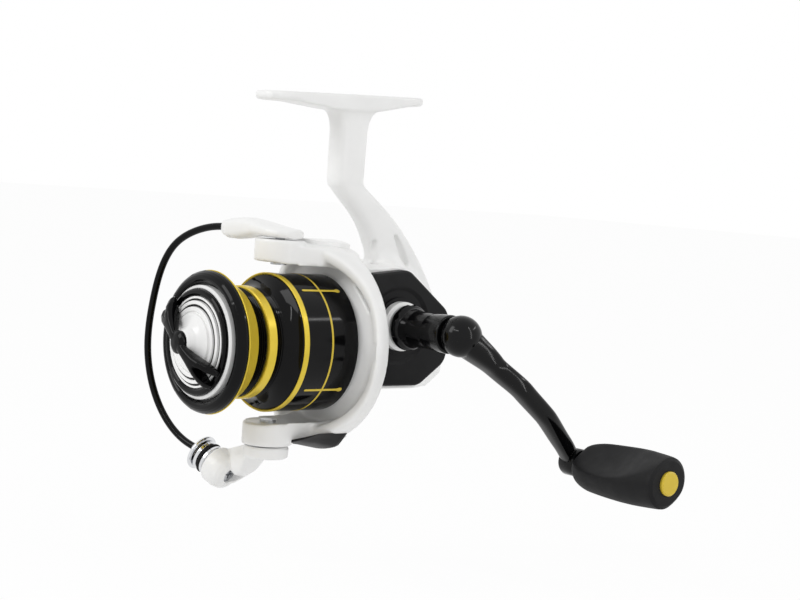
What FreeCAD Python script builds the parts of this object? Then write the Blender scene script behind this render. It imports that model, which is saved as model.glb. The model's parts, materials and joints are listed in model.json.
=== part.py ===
import FreeCAD, Part
import math
import os

# Spinning reel, millimetres.
# Every piece is drawn round the main shaft: the shaft lies along Y with the spool at -Y, the crank
# axle lies along X with the handle at +X, and the foot is up at +Z.  Saving moves the whole reel so
# that its origin is the centre of the foot's sole.

# Layout
SOLE_HEIGHT = 81.0          # main shaft up to the sole of the foot
FOOT_FORWARD = 15.2         # crank axle forward to the middle of the foot
CRANK_RISE = 7.4            # crank axle above the main shaft
STROKE = 13.0               # travel of the spool along the main shaft
RUN = 0.06                  # radial clearance of a shaft in its bore
GAP = 0.35                  # clearance between pieces that pass each other

# Foot and stem
FOOT_LENGTH = 64.0
FOOT_WIDTH = 12.5
FOOT_TIP = 2.0              # thickness at the two tips
FOOT_ROOT = 5.2             # thickness where the stem grows out
FOOT_TIP_RADIUS = 4.6
FOOT_SHOULDER = 14.0        # length over which each tip narrows
FOOT_TILT = 2.5             # degrees, the rear tip rides higher
STEM_WIDTH = 8.0
STEM_DEPTH = 11.0
STEM_ROUND = 3.0
STEM_FRONT = -16.9          # front edge of the straight stem
ELBOW_DROP = 29.0           # sole down to where the stem starts to bend back

# Gear housing
HOUSING_FRONT = -12.5
HOUSING_REAR = 23.0         # at the flat sides
HOUSING_TOP = 26.5
HOUSING_BOTTOM = -13.8
HOUSING_HALF = 17.0
HOUSING_CUT = 12.0          # length of the slanted lower rear corner of the flat sides
COVER_FACE = 15.5           # where the side cover meets the housing
COVER_THICK = 3.7
COVER_CORNER = 6.0
SPINE_HALF = 6.0            # half width of the ridge that carries the stem
SPINE_REAR = 31.0
WALL = 2.2
SCREW_RADIUS = 1.0          # the three long screws that hold the side cover
SCREW_HEAD = 2.1

# Gears
DRIVE_TEETH = 47
PINION_TEETH = 10
DRIVE_RADIUS = 11.4
PINION_RADIUS = 4.0
TOOTH_HEIGHT = 0.7
CROSS_SETBACK = 15.0        # crank axle back to the oscillation gear's axle
CROSS_RADIUS = 8.6
CROSS_TEETH = 20
CRANK_TEETH = 18

# Shafts and what they run in
SHAFT_RADIUS = 2.0
GUIDE_RADIUS = 1.1
GUIDE_DROP = 8.0            # guide rod below the main shaft
POST_RADIUS = 1.6
PIN_RADIUS = 1.7            # crank pin of the oscillation gear
AXLE_SEAT = 6.0             # outer radius of the two crank bearings
AXLE_TUNNEL = 4.4
PINION_NECK = 3.5
AXLE_RADIUS = 3.5
BEARING_OUTER = 8.0
BEARING_WIDTH = 4.5
CLUTCH_OUTER = 11.0
CLUTCH_LENGTH = 8.5
CLUTCH_SLEEVE = 5.2
CLUTCH_RACE = 8.0
CLUTCH_ROLLER = 1.38
SLIDER_SCREW = 0.8

# Rotor
ROTOR_RIM = 31.0
ROTOR_REAR = -13.0
CUP_OUTER = 19.5
CUP_WALL = 2.0
CUP_FRONT = -36.5
ARM_OUTER = 32.4
ARM_INNER = 26.4
ARM_END = 8.0               # radius of the rounded end round the pivot
PIVOT_FORWARD = 36.0        # crank axle forward to the bail's pivot line
PAD_TOP = 33.0
POCKET_FRONT = -27.5        # the hollow in each arm
POCKET_REAR = -19.0
COVER_SKIN = 1.3            # arm cover plates

# Spool
SKIRT_RADIUS = 22.2
SKIRT_WALL = 1.2
SKIRT_REAR = -18.5
FLANGE_FRONT = -39.9
FLANGE_THICK = 1.8
DRUM_RADIUS = 18.0
DRUM_WAIST = 16.6
LIP_RADIUS = 22.6
LIP_FRONT = -64.4
LIP_DEPTH = 2.0             # rounded front of the lip, forward of its widest edge
CHAMFER = 6.0               # length of the yellow cone behind the lip
KNOB_SEAT = -58.0           # the face of the spool's front hollow, behind the knob
WEB_REAR = -47.0
BAND_FRONT = -51.8          # front of the raised band round the drum
WEB_THICK = 4.0
DRAG_WELL = 15.2            # radius of the well that holds the drag washers

# Drag knob
KNOB_RADIUS = 17.8
KNOB_EDGE = -65.0           # front of the knob's rim
RING_PROUD = 1.3            # how far the black ring stands off the rim
STEP_DEPTH = 0.65           # each of the steps up to the cone
CONE_FRONT = -72.0
CONE_RADIUS = 7.6           # foot of the hollow cone
TIP_RADIUS = 3.6            # its tip, inside the ring of the finger bar
BAR_TOP = 1.5               # how far the finger bar stands off the cone's tip
BAR_REACH = 17.2            # half length of the finger bar
BAR_HUB = 4.0
BAR_WING = 5.0              # half width of the bar at its two ends
BAR_TURN = 38.0             # degrees that the bar leans in the stored pose
DISC_INNER = 2.4            # dished spring washers behind the knob
DISC_OUTER = 5.6
DISC_RISE = 0.6
DISC_THICK = 0.35

# Bail
BAIL_ANGLE = 75.0           # degrees that the closed bail leans from straight ahead
PIVOT_HUB = 7.5             # radius of the two pivot hubs
CAM_HUB = 3.2               # thickness of the cam at its hub
SOCKET_REACH = 23.6
WIRE_RADIUS = 1.2
WIRE_FOOT = 4.0             # length of the tapered end beside the roller
HEAD_REACH = 18.2
HEAD_DROP = 43.6
ROLLER_PITCH = 24.0         # degrees that the roller's axis climbs outwards
ROLLER_RADIUS = 5.4
ROLLER_LENGTH = 4.6
WIRE_FLANGE = 6.1           # radius of the disc that the wire ends in
ROLLER_HUB = 4.0            # thickness of the roller arm at its pivot

# Handle
HANDLE_LENGTH = 60.4        # crank axle to the knob's axle
HANDLE_ANGLE = -41.5        # degrees, direction of the arm about the crank axle, from +Y
COLLAR_RADIUS = 8.0
SHANK_RADIUS = 6.0
KNUCKLE_X = 49.5
KNUCKLE_RADIUS = 6.6
KNUCKLE_STEP = 4.6          # shank shoulder back from the middle of the ball
STUB_RADIUS = 3.2
ARM_THICK = 7.6
ARM_TAPER = 3.0             # how much thinner the arm gets towards the knob
ARM_WIDTH = 5.6
BOSS_RADIUS = 4.6
BOSS_HALF = 2.7
GRIP_START = 63.2
GRIP_END = 99.6
GRIP_WIDTH = 20.0
GRIP_THICK = 8.0
GRIP_AXLE = 2.0

# Places worked out from the sizes above
SHAFT_LINE = FreeCAD.Vector(0, 0, 0)
CRANK_LINE = FreeCAD.Vector(0, 0, CRANK_RISE)
CROSS_LINE = FreeCAD.Vector(0, CROSS_SETBACK, 0)
GUIDE_LINE = FreeCAD.Vector(0, 0, -GUIDE_DROP)
GUIDE_FRONT = -4.0
GUIDE_REAR = SPINE_REAR - 2.5
PIVOT_LINE = FreeCAD.Vector(0, -PIVOT_FORWARD, 0)
COVER_TOP = COVER_FACE + COVER_THICK
NOSE_RADIUS = CLUTCH_OUTER + WALL
POCKET_FLOOR = ARM_INNER + 2.0
POCKET_MIDDLE = (POCKET_FLOOR + ARM_OUTER) / 2
BEARING_REAR = HOUSING_FRONT
BEARING_FRONT = BEARING_REAR - BEARING_WIDTH
CLUTCH_REAR = BEARING_FRONT - 1.0
CLUTCH_FRONT = CLUTCH_REAR - CLUTCH_LENGTH
NOSE_FRONT = CLUTCH_FRONT - 0.4
PIN_THROW = STROKE / 2
BLOCK_LENGTH = 7.0
BLOCK_MIDDLE = CROSS_SETBACK + PIN_THROW
BLOCK_FACE = -5.0
CROSS_NEAR = -8.0
CROSS_THICK = 3.0
GEAR_FACE = PINION_RADIUS + GAP
RING_OUTER = KNOB_RADIUS - 1.1
RING_INNER = KNOB_RADIUS - 3.4
LIP_EDGE = LIP_FRONT + LIP_DEPTH
STEP_FRONT = KNOB_EDGE - 4 * STEP_DEPTH
RING_FLOOR = KNOB_EDGE + 0.8
KNOB_BACK = KNOB_SEAT - 1.0
KNOB_WELL = KNOB_RADIUS + GAP + 0.6

MAIN_AXES = {"X": FreeCAD.Vector(1, 0, 0), "Y": FreeCAD.Vector(0, 1, 0), "Z": FreeCAD.Vector(0, 0, 1)}


def point(x, y, z):
    return FreeCAD.Vector(x, y, z)


def polar(radius, degrees):
    """The two coordinates of a point on a circle."""
    return radius * math.cos(math.radians(degrees)), radius * math.sin(math.radians(degrees))


def rod(axis, radius, start, end, line=SHAFT_LINE):
    """A solid cylinder along a main axis, on a line through the given point."""
    base = MAIN_AXES[axis] * start + line
    return Part.makeCylinder(radius, end - start, base, MAIN_AXES[axis])


def tube(axis, outer, inner, start, end, line=SHAFT_LINE):
    return rod(axis, outer, start, end, line).cut(rod(axis, inner, start - 1, end + 1, line))


def block(x, y, z):
    """A box from three (low, high) pairs."""
    return Part.makeBox(x[1] - x[0], y[1] - y[0], z[1] - z[0], point(x[0], y[0], z[0]))


def turned(axis, outline, line=SHAFT_LINE):
    """A solid of revolution: the outline lists (distance along the axis, radius)."""
    if axis == "Y":
        corners = [point(r, along, 0) for along, r in outline]
    else:
        corners = [point(along, r, 0) for along, r in outline]
    face = Part.Face(Part.makePolygon(corners + corners[:1]))
    solid = face.revolve(SHAFT_LINE, MAIN_AXES[axis], 360)
    solid.translate(line)
    return solid


def prism(axis, outline, start, end):
    """A flat outline pushed along an axis: (y, z) pairs for X, (x, z) for Y, (x, y) for Z."""
    if axis == "X":
        corners = [point(start, a, b) for a, b in outline]
    elif axis == "Y":
        corners = [point(a, start, b) for a, b in outline]
    else:
        corners = [point(a, b, start) for a, b in outline]
    face = Part.Face(Part.makePolygon(corners + corners[:1]))
    return face.extrude(MAIN_AXES[axis] * (end - start))


def edges_along(solid, axis, keep=lambda middle: True):
    """The straight edges parallel to an axis whose middle point passes the test."""
    chosen = []
    for edge in solid.Edges:
        if edge.Curve.TypeId != "Part::GeomLine":
            continue
        direction = edge.tangentAt(edge.FirstParameter)
        if abs(direction.dot(MAIN_AXES[axis])) > 0.999 and keep(edge.CenterOfMass):
            chosen.append(edge)
    return chosen


def rim_edges(solid, axis, place):
    """The edges that lie in the plane across an axis at the given place."""
    chosen = []
    for edge in solid.Edges:
        box = edge.BoundBox
        low, high = {"X": (box.XMin, box.XMax), "Y": (box.YMin, box.YMax), "Z": (box.ZMin, box.ZMax)}[axis]
        if abs(low - place) < 0.01 and abs(high - place) < 0.01:
            chosen.append(edge)
    return chosen


def round_ring(axis, count, radius, make, line=SHAFT_LINE):
    """Copies of one solid, set round an axis."""
    copies = []
    for index in range(count):
        piece = make(radius)
        piece.rotate(line, MAIN_AXES[axis], 360.0 * index / count)
        copies.append(piece)
    return copies


def spur_gear(axis, teeth, tip, bore, start, end, line):
    """A straight-toothed gear: the tooth tips lie on the tip radius."""
    root = tip - TOOTH_HEIGHT
    corners = []
    for index in range(teeth):
        for share, radius in ((-0.36, root), (-0.16, tip), (0.16, tip), (0.36, root)):
            corners.append(polar(radius, 360.0 * (index + share) / teeth))
    gear = prism(axis, corners, start, end)
    gear.translate(line)
    return gear.cut(rod(axis, bore, start - 1, end + 1, line))


def ball_bearing(axis, outer, inner, start, end, line):
    """Outer ring, inner ring and a ring of balls."""
    middle = (outer + inner) / 2
    ball = (outer - inner) * 0.28
    centre = MAIN_AXES[axis] * ((start + end) / 2) + line
    outer_ring = tube(axis, outer, middle + ball * 0.8, start, end, line)
    inner_ring = tube(axis, middle - ball * 0.8, inner, start, end, line)
    groove = Part.makeTorus(middle, ball + 0.02, centre, MAIN_AXES[axis])
    side = MAIN_AXES["Z"] if axis != "Z" else MAIN_AXES["X"]
    count = int(2 * math.pi * middle / (2.6 * ball))
    balls = round_ring(axis, count, middle, lambda r: Part.makeSphere(ball, centre + side * r), line)
    return [outer_ring.cut(groove), inner_ring.cut(groove)] + balls


def cross_screw(axis, head, shank, base, top, tip, line):
    """A pan-head screw with a cross slot: head from base to top, shank to the tip."""
    low, high = min(base, top), max(base, top)
    screw = rod(axis, head, low, high, line)
    screw = screw.fuse(rod(axis, shank, min(base, tip), max(base, tip), line))
    depth = (top - base) * 0.5
    slot_low, slot_high = sorted((top - depth, top + depth))
    for turn in (0, 90):
        slot = block((-head * 0.6, head * 0.6), (-head * 0.12, head * 0.12), (slot_low, slot_high))
        slot.rotate(SHAFT_LINE, MAIN_AXES["Z"], turn)
        if axis == "X":
            slot.rotate(SHAFT_LINE, MAIN_AXES["Y"], 90)
        elif axis == "Y":
            slot.rotate(SHAFT_LINE, MAIN_AXES["X"], -90)
        slot.translate(line)
        screw = screw.cut(slot)
    return screw


def curve_through(points):
    """A smooth open curve through a few chosen points."""
    curve = Part.BSplineCurve()
    curve.interpolate(points)
    return curve.toShape()


def bezier(points):
    curve = Part.BezierCurve()
    curve.setPoles(points)
    return curve.toShape()


# ------------------------------------------------------------------ fixed body


def foot():
    """The rod foot: two tapering tips either side of the stem, with a flat sole on top."""
    front = -FOOT_FORWARD - FOOT_LENGTH / 2
    rear = -FOOT_FORWARD + FOOT_LENGTH / 2
    side = [(front, SOLE_HEIGHT), (rear, SOLE_HEIGHT), (rear, SOLE_HEIGHT - FOOT_TIP),
            (STEM_FRONT + STEM_DEPTH + 3, SOLE_HEIGHT - FOOT_ROOT),
            (STEM_FRONT - 3, SOLE_HEIGHT - FOOT_ROOT), (front, SOLE_HEIGHT - FOOT_TIP)]
    slab = prism("X", side, -FOOT_WIDTH / 2, FOOT_WIDTH / 2)
    half = FOOT_WIDTH / 2
    plan = [(-FOOT_TIP_RADIUS, front), (FOOT_TIP_RADIUS, front), (half, front + FOOT_SHOULDER),
            (half, rear - FOOT_SHOULDER), (FOOT_TIP_RADIUS, rear), (-FOOT_TIP_RADIUS, rear),
            (-half, rear - FOOT_SHOULDER), (-half, front + FOOT_SHOULDER)]
    trim = prism("Z", plan, SOLE_HEIGHT - 2 * FOOT_ROOT, SOLE_HEIGHT + 1)
    corners = edges_along(trim, "Z", lambda middle: abs(middle.x) < FOOT_TIP_RADIUS + 0.1)
    trim = trim.makeFillet(FOOT_TIP_RADIUS * 0.85, corners)
    slab = slab.common(trim)
    slab.rotate(point(0, -FOOT_FORWARD, SOLE_HEIGHT), MAIN_AXES["X"], FOOT_TILT)
    return slab


def stem():
    """The stem: straight below the foot, then sweeping down and back into the housing."""
    top = SOLE_HEIGHT - FOOT_ROOT / 2
    elbow = SOLE_HEIGHT - ELBOW_DROP
    rear = STEM_FRONT + STEM_DEPTH
    front_curve = bezier([point(0, STEM_FRONT, elbow + 1.5), point(0, STEM_FRONT, elbow - 5.5),
                          point(0, 0, HOUSING_TOP + 17), point(0, 1, HOUSING_TOP - 4)])
    rear_curve = bezier([point(0, rear, elbow + 2), point(0, rear, elbow - 2.5),
                         point(0, 13, HOUSING_TOP + 19), point(0, SPINE_REAR - 1, 14)])
    outline = Part.Wire([
        Part.makeLine(point(0, STEM_FRONT, top), point(0, STEM_FRONT, elbow + 1.5)),
        front_curve,
        Part.makeLine(point(0, 1, HOUSING_TOP - 4), point(0, SPINE_REAR - 1, 14)),
        rear_curve,
        Part.makeLine(point(0, rear, elbow + 2), point(0, rear, top)),
        Part.makeLine(point(0, rear, top), point(0, STEM_FRONT, top))])
    face = Part.Face(outline)
    face.translate(point(-STEM_WIDTH / 2, 0, 0))
    solid = face.extrude(point(STEM_WIDTH, 0, 0))
    along = [edge for edge in solid.Edges if edge.BoundBox.XLength < 0.01 and edge.BoundBox.ZLength > 10
             and edge.CenterOfMass.z > HOUSING_TOP + 5]
    return solid.makeFillet(STEM_ROUND, along)


def housing_shell():
    """The outside of the gear housing: wide flat sides that taper into a central ridge."""
    def section(x, front, top, rear, bottom, lift, cut):
        corners = [(front, top), (3.5, top + lift * 0.8), (rear, top - 14 + lift * 0.4),
                   (rear, bottom + cut * 0.75), (rear - cut, bottom), (front, bottom)]
        return Part.makePolygon([point(x, a, b) for a, b in corners + corners[:1]])

    flat = (HOUSING_FRONT, HOUSING_TOP - 1, HOUSING_REAR, HOUSING_BOTTOM, 1.0, HOUSING_CUT)
    ridge = (HOUSING_FRONT, HOUSING_TOP - 3, SPINE_REAR, HOUSING_BOTTOM - 0.7, 5.0, HOUSING_CUT / 2)
    sides = [section(-HOUSING_HALF, *flat), section(-SPINE_HALF, *ridge),
             section(SPINE_HALF, *ridge), section(COVER_FACE, *flat)]
    return Part.makeLoft(sides, True, True)


def nose():
    """The round nose that carries the pinion bearing and the roller clutch inside the rotor."""
    flange = rod("Y", CUP_OUTER - CUP_WALL - 0.8, HOUSING_FRONT - 2.5, HOUSING_FRONT)
    return rod("Y", NOSE_RADIUS, NOSE_FRONT, HOUSING_FRONT + 3).fuse(flange)


def body():
    solid = housing_shell().fuse([stem(), nose(), foot()])
    gear_bay = rod("X", DRIVE_RADIUS + GAP, -HOUSING_HALF + WALL, COVER_FACE + 1, CRANK_LINE)
    slider_bay = block((CROSS_NEAR, 6.5), (0, SPINE_REAR - 4.5), (-11, 11))
    cross_bay = rod("X", CROSS_RADIUS + 0.6, CROSS_NEAR - CROSS_THICK - 1, CROSS_NEAR + 0.5, CROSS_LINE)
    open_bay = prism("X", [(0, -10), (HOUSING_REAR - HOUSING_CUT + 1, -10), (HOUSING_REAR - WALL, -3.5),
                           (HOUSING_REAR - WALL, 10), (0, 10)], 0, COVER_FACE + 1)
    crank_bay = rod("X", crank_pinion_radius() + 0.6, CROSS_NEAR - CROSS_THICK - 1, 0, CRANK_LINE)
    pinion_bore = rod("Y", PINION_RADIUS + GAP, HOUSING_FRONT - 1, 1)
    solid = solid.cut([gear_bay, slider_bay, cross_bay, open_bay, crank_bay, pinion_bore])
    boss = rod("X", BEARING_OUTER - 0.4, -HOUSING_HALF + 0.5, -HOUSING_HALF + WALL + 2.6, CRANK_LINE)
    cross_post = rod("X", 2 * POST_RADIUS, -HOUSING_HALF + 1, CROSS_NEAR - CROSS_THICK - GAP, CROSS_LINE)
    solid = solid.fuse([boss, cross_post])
    bearing_seat = rod("Y", BEARING_OUTER, BEARING_FRONT, HOUSING_FRONT + 2)
    neck = rod("Y", BEARING_OUTER - 1.5, CLUTCH_REAR - 1, HOUSING_FRONT)
    clutch_seat = rod("Y", CLUTCH_OUTER, NOSE_FRONT - 1, CLUTCH_REAR)
    left_seat = rod("X", AXLE_SEAT, -HOUSING_HALF - 1, -HOUSING_HALF + 4.2, CRANK_LINE)
    left_tunnel = rod("X", AXLE_TUNNEL, -HOUSING_HALF, -HOUSING_HALF + 6, CRANK_LINE)
    post_hole = rod("X", POST_RADIUS, CROSS_NEAR - CROSS_THICK - 4, CROSS_NEAR, CROSS_LINE)
    guide_hole = rod("Y", GUIDE_RADIUS, GUIDE_FRONT, GUIDE_REAR, GUIDE_LINE)
    holes = []
    for y, z in cover_screw_places():
        holes.append(rod("X", SCREW_RADIUS + 0.1, -HOUSING_HALF - 1, COVER_FACE + 1, point(0, y, z)))
        holes.append(rod("X", SCREW_HEAD + 0.15, -HOUSING_HALF - 1, -HOUSING_HALF + 1.6, point(0, y, z)))
    return solid.cut([bearing_seat, neck, clutch_seat, left_seat, left_tunnel, post_hole, guide_hole] + holes)


def cover_screw_places():
    """Where the side cover's long screws run through the housing, as (y, z)."""
    return [(HOUSING_FRONT + 3.4, HOUSING_TOP - 5.5), (HOUSING_REAR - 8.6, CRANK_RISE + 5.4),
            (HOUSING_FRONT + 3.4, HOUSING_BOTTOM + 3.8)]


def side_cover():
    """The dark plate on the handle side, with a dished ring round the axle."""
    outline = [(HOUSING_FRONT + 0.4, HOUSING_TOP - 2.5), (3.2, HOUSING_TOP - 0.8),
               (HOUSING_REAR - 1.2, HOUSING_TOP - 14.5), (HOUSING_REAR - 1.2, HOUSING_BOTTOM + 9.5),
               (HOUSING_REAR - 12.5, HOUSING_BOTTOM + 1.4), (HOUSING_FRONT + 0.4, HOUSING_BOTTOM + 1.4)]
    plate = prism("X", outline, COVER_FACE, COVER_TOP)
    plate = plate.makeFillet(COVER_CORNER, edges_along(plate, "X", lambda middle: middle.y > 0))
    plate = plate.makeFillet(2.0, edges_along(plate, "X", lambda middle: middle.y < -5))
    plate = plate.makeFillet(1.0, rim_edges(plate, "X", COVER_TOP))
    dish = turned("X", [(COVER_TOP - 0.8, 9.2), (COVER_TOP - 0.8, 11.6), (COVER_TOP + 0.1, 13.0),
                        (COVER_TOP + 0.1, 9.2)], CRANK_LINE)
    boss = rod("X", BEARING_OUTER - 0.4, COVER_FACE - 2.4, COVER_FACE + 0.5, CRANK_LINE)
    plate = plate.fuse(boss)
    seat = rod("X", AXLE_SEAT, COVER_FACE - 3, COVER_FACE + 1.2, CRANK_LINE)
    through = rod("X", AXLE_TUNNEL, COVER_FACE, COVER_TOP + 1, CRANK_LINE)
    cuts = [dish, seat, through]
    for y, z in cover_screw_places():
        cuts.append(rod("X", SCREW_RADIUS, COVER_FACE - 1, COVER_FACE + 2.2, point(0, y, z)))
    return plate.cut(cuts)


def side_cover_screws():
    """The three long screws, put in from the side away from the handle."""
    seat = -HOUSING_HALF + 1.6
    screws = []
    for y, z in cover_screw_places():
        screws.append(cross_screw("X", SCREW_HEAD, SCREW_RADIUS, seat, seat - 1.3, COVER_FACE + 2.0,
                                  point(0, y, z)))
    return screws


def axle_collar():
    """The pale collar that the handle's flange turns against."""
    return turned("X", [(COVER_TOP, AXLE_RADIUS + 0.5), (COVER_TOP, COLLAR_RADIUS),
                        (COVER_TOP + 2.2, COLLAR_RADIUS), (COVER_TOP + 3.2, COLLAR_RADIUS - 1.0),
                        (COVER_TOP + 3.2, AXLE_RADIUS + 0.5)], CRANK_LINE)


def axle_cap():
    """The cap over the axle's end on the side away from the handle."""
    cap = turned("X", [(-HOUSING_HALF - 2.6, 0), (-HOUSING_HALF - 2.6, 6.0), (-HOUSING_HALF - 1.4, 7.4),
                       (-HOUSING_HALF, 7.4), (-HOUSING_HALF, 0)], CRANK_LINE)
    slot = block((-HOUSING_HALF - 3, -HOUSING_HALF - 1.8), (-4.5, 4.5), (CRANK_RISE - 0.6, CRANK_RISE + 0.6))
    return cap.cut(slot)


def roller_clutch():
    """The one-way clutch: a ring, its rollers, and end cage."""
    inner = PINION_NECK + RUN
    middle = (CLUTCH_SLEEVE + CLUTCH_RACE) / 2
    ring = tube("Y", CLUTCH_OUTER, CLUTCH_RACE, CLUTCH_FRONT, CLUTCH_REAR)
    sleeve = tube("Y", CLUTCH_SLEEVE, inner, CLUTCH_FRONT, CLUTCH_REAR)
    rollers = round_ring("Y", 10, middle, lambda r: rod("Y", CLUTCH_ROLLER, CLUTCH_FRONT + 1,
                                                          CLUTCH_REAR - 1, point(r, 0, 0)))
    cage = tube("Y", CLUTCH_RACE - 0.1, CLUTCH_SLEEVE + 0.1, CLUTCH_FRONT, CLUTCH_FRONT + 0.8)
    return [ring, sleeve, cage] + rollers


def clutch_retainer():
    """The thin ring that holds the clutch in the nose."""
    return tube("Y", NOSE_RADIUS - 0.3, 6.2, NOSE_FRONT - 1.0, NOSE_FRONT)


def guide_rod():
    """The rod that keeps the slider upright."""
    return rod("Y", GUIDE_RADIUS, GUIDE_FRONT, GUIDE_REAR, GUIDE_LINE)


def cross_gear_post():
    """The fixed post that the oscillation gear turns on."""
    return rod("X", POST_RADIUS, CROSS_NEAR - CROSS_THICK - 4, CROSS_NEAR - 0.4, CROSS_LINE)


# ------------------------------------------------------------------ crank and gears


def drive_axle():
    rear = -HOUSING_HALF + 0.3
    axle = rod("X", AXLE_RADIUS, rear, COVER_TOP + 3.4, CRANK_LINE)
    thread = rod("X", 2.6, COVER_TOP + 3.4, COVER_TOP + 9, CRANK_LINE)
    return axle.fuse(thread)


def drive_gear():
    """The crown gear: a disc on a hub, with short radial teeth on the face that meets the pinion."""
    disc = rod("X", DRIVE_RADIUS, GEAR_FACE + TOOTH_HEIGHT, GEAR_FACE + TOOTH_HEIGHT + 2.6, CRANK_LINE)
    hub = rod("X", 5.6, GEAR_FACE + TOOTH_HEIGHT, COVER_FACE - 3.4, CRANK_LINE)
    inner = DRIVE_RADIUS - 2.6
    tooth = lambda r: block((GEAR_FACE, GEAR_FACE + TOOTH_HEIGHT + 0.1), (r, DRIVE_RADIUS),
                            (CRANK_RISE - 0.35, CRANK_RISE + 0.35))
    gear = disc.fuse([hub] + round_ring("X", DRIVE_TEETH, inner, tooth, CRANK_LINE))
    holes = round_ring("X", 6, 8.0, lambda r: rod("X", 1.3, GEAR_FACE, GEAR_FACE + 6,
                                                   point(0, r, CRANK_RISE)), CRANK_LINE)
    return gear.cut([rod("X", AXLE_RADIUS, 0, 20, CRANK_LINE)] + holes)


def crank_pinion_radius():
    spacing = math.hypot(CROSS_SETBACK, CRANK_RISE)
    return spacing - CROSS_RADIUS - GAP


def crank_cross_gear():
    """The small gear on the crank axle that turns the oscillation gear."""
    return spur_gear("X", CRANK_TEETH, crank_pinion_radius(), AXLE_RADIUS,
                     CROSS_NEAR - CROSS_THICK, CROSS_NEAR, CRANK_LINE)


def oscillation_gear():
    """The oscillation gear, with the crank pin that drives the slider's slot."""
    gear = spur_gear("X", CROSS_TEETH, CROSS_RADIUS, POST_RADIUS + RUN, CROSS_NEAR - CROSS_THICK, CROSS_NEAR,
                     CROSS_LINE)
    pin = rod("X", PIN_RADIUS, CROSS_NEAR - 0.5, BLOCK_FACE - GAP, point(0, BLOCK_MIDDLE, 0))
    return gear.fuse(pin)


def pinion():
    """The hollow pinion: teeth behind, a neck through the bearing and clutch, a nose for the rotor."""
    teeth = spur_gear("Y", PINION_TEETH, PINION_RADIUS, SHAFT_RADIUS + RUN, -10.8, -4.6, SHAFT_LINE)
    shoulder = rod("Y", PINION_NECK + 0.6, HOUSING_FRONT, -10.8)
    neck = rod("Y", PINION_NECK, CUP_FRONT - 4.6, HOUSING_FRONT + 1)
    return teeth.fuse([shoulder, neck]).cut(rod("Y", SHAFT_RADIUS + RUN, CUP_FRONT - 8, 0))


# ------------------------------------------------------------------ main shaft and slider


def main_shaft():
    """The shaft that carries the spool and slides with it."""
    return rod("Y", SHAFT_RADIUS, STEP_FRONT + 1.0, BLOCK_MIDDLE + BLOCK_LENGTH / 2 + 1.5)


def slider():
    """The block that carries the shaft to and fro, with a tall slot for the crank pin."""
    front = BLOCK_MIDDLE - BLOCK_LENGTH / 2
    rear = BLOCK_MIDDLE + BLOCK_LENGTH / 2
    solid = block((BLOCK_FACE, 3.5), (front, rear), (-9.8, 3.4))
    plate = block((BLOCK_FACE, -2.6), (front, rear), (-9.8, 9.4))
    solid = solid.fuse(plate)
    half = PIN_RADIUS + 0.2
    slot = block((BLOCK_FACE - 1, BLOCK_FACE + 1.4), (BLOCK_MIDDLE - half, BLOCK_MIDDLE + half), (-8.6, 8.6))
    guide = rod("Y", GUIDE_RADIUS + RUN, front - 1, rear + 1, GUIDE_LINE)
    screw = rod("X", SLIDER_SCREW, 0, 6, point(0, rear - 2.2, 0))
    return solid.cut([slot, rod("Y", SHAFT_RADIUS, front - 1, rear + 1), guide, screw])


def slider_screw():
    rear = BLOCK_MIDDLE + BLOCK_LENGTH / 2
    return cross_screw("X", 2 * SLIDER_SCREW, SLIDER_SCREW, 3.5, 4.2, 2.0, point(0, rear - 2.2, 0))


def spool_seat():
    """The collar and toothed click ring on the shaft that carry the spool."""
    collar = tube("Y", 4.6, SHAFT_RADIUS, WEB_REAR + 0.6, WEB_REAR + 1.8)
    ring = spur_gear("Y", 24, 9.0, SHAFT_RADIUS, WEB_REAR + 1.8, WEB_REAR + 2.8, SHAFT_LINE)
    return collar.fuse(ring)


# ------------------------------------------------------------------ rotor


def arm_plan(half_rear, half_end, front, rear):
    """The outline of a rotor arm seen from outside, before its end is rounded."""
    waist = front + (rear - front) * 0.55
    return [(-half_end, front), (half_end, front), (half_end + 0.8, waist),
            (half_rear, rear), (-half_rear, rear), (-half_end - 0.8, waist)]


def arm_blank(half_rear, half_end, front, rear, inner, outer):
    """A curved slab that follows the rotor's round, standing on the +Z side."""
    plan = prism("Z", arm_plan(half_rear, half_end, front, rear), 15, outer + 4)
    plan = plan.fuse(rod("Z", half_end, 15, outer + 4, point(0, front, 0)))
    ring = tube("Y", outer, inner, front - half_end - 2, rear + 2)
    return plan.common(ring)


def rotor_arm():
    arm = arm_blank(13.0, ARM_END, -PIVOT_FORWARD, ROTOR_REAR, ARM_INNER, ARM_OUTER)
    pad = rod("Z", ARM_END, ARM_INNER - 0.6, PAD_TOP, PIVOT_LINE)
    trim = rod("Z", ARM_END + 0.4, PAD_TOP, ARM_OUTER + 4, PIVOT_LINE)
    pocket = block((-5, 5), (POCKET_FRONT, POCKET_REAR), (POCKET_FLOOR, ARM_OUTER + 1))
    arm = arm.fuse(pad).cut([trim, pocket])
    return arm


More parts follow.
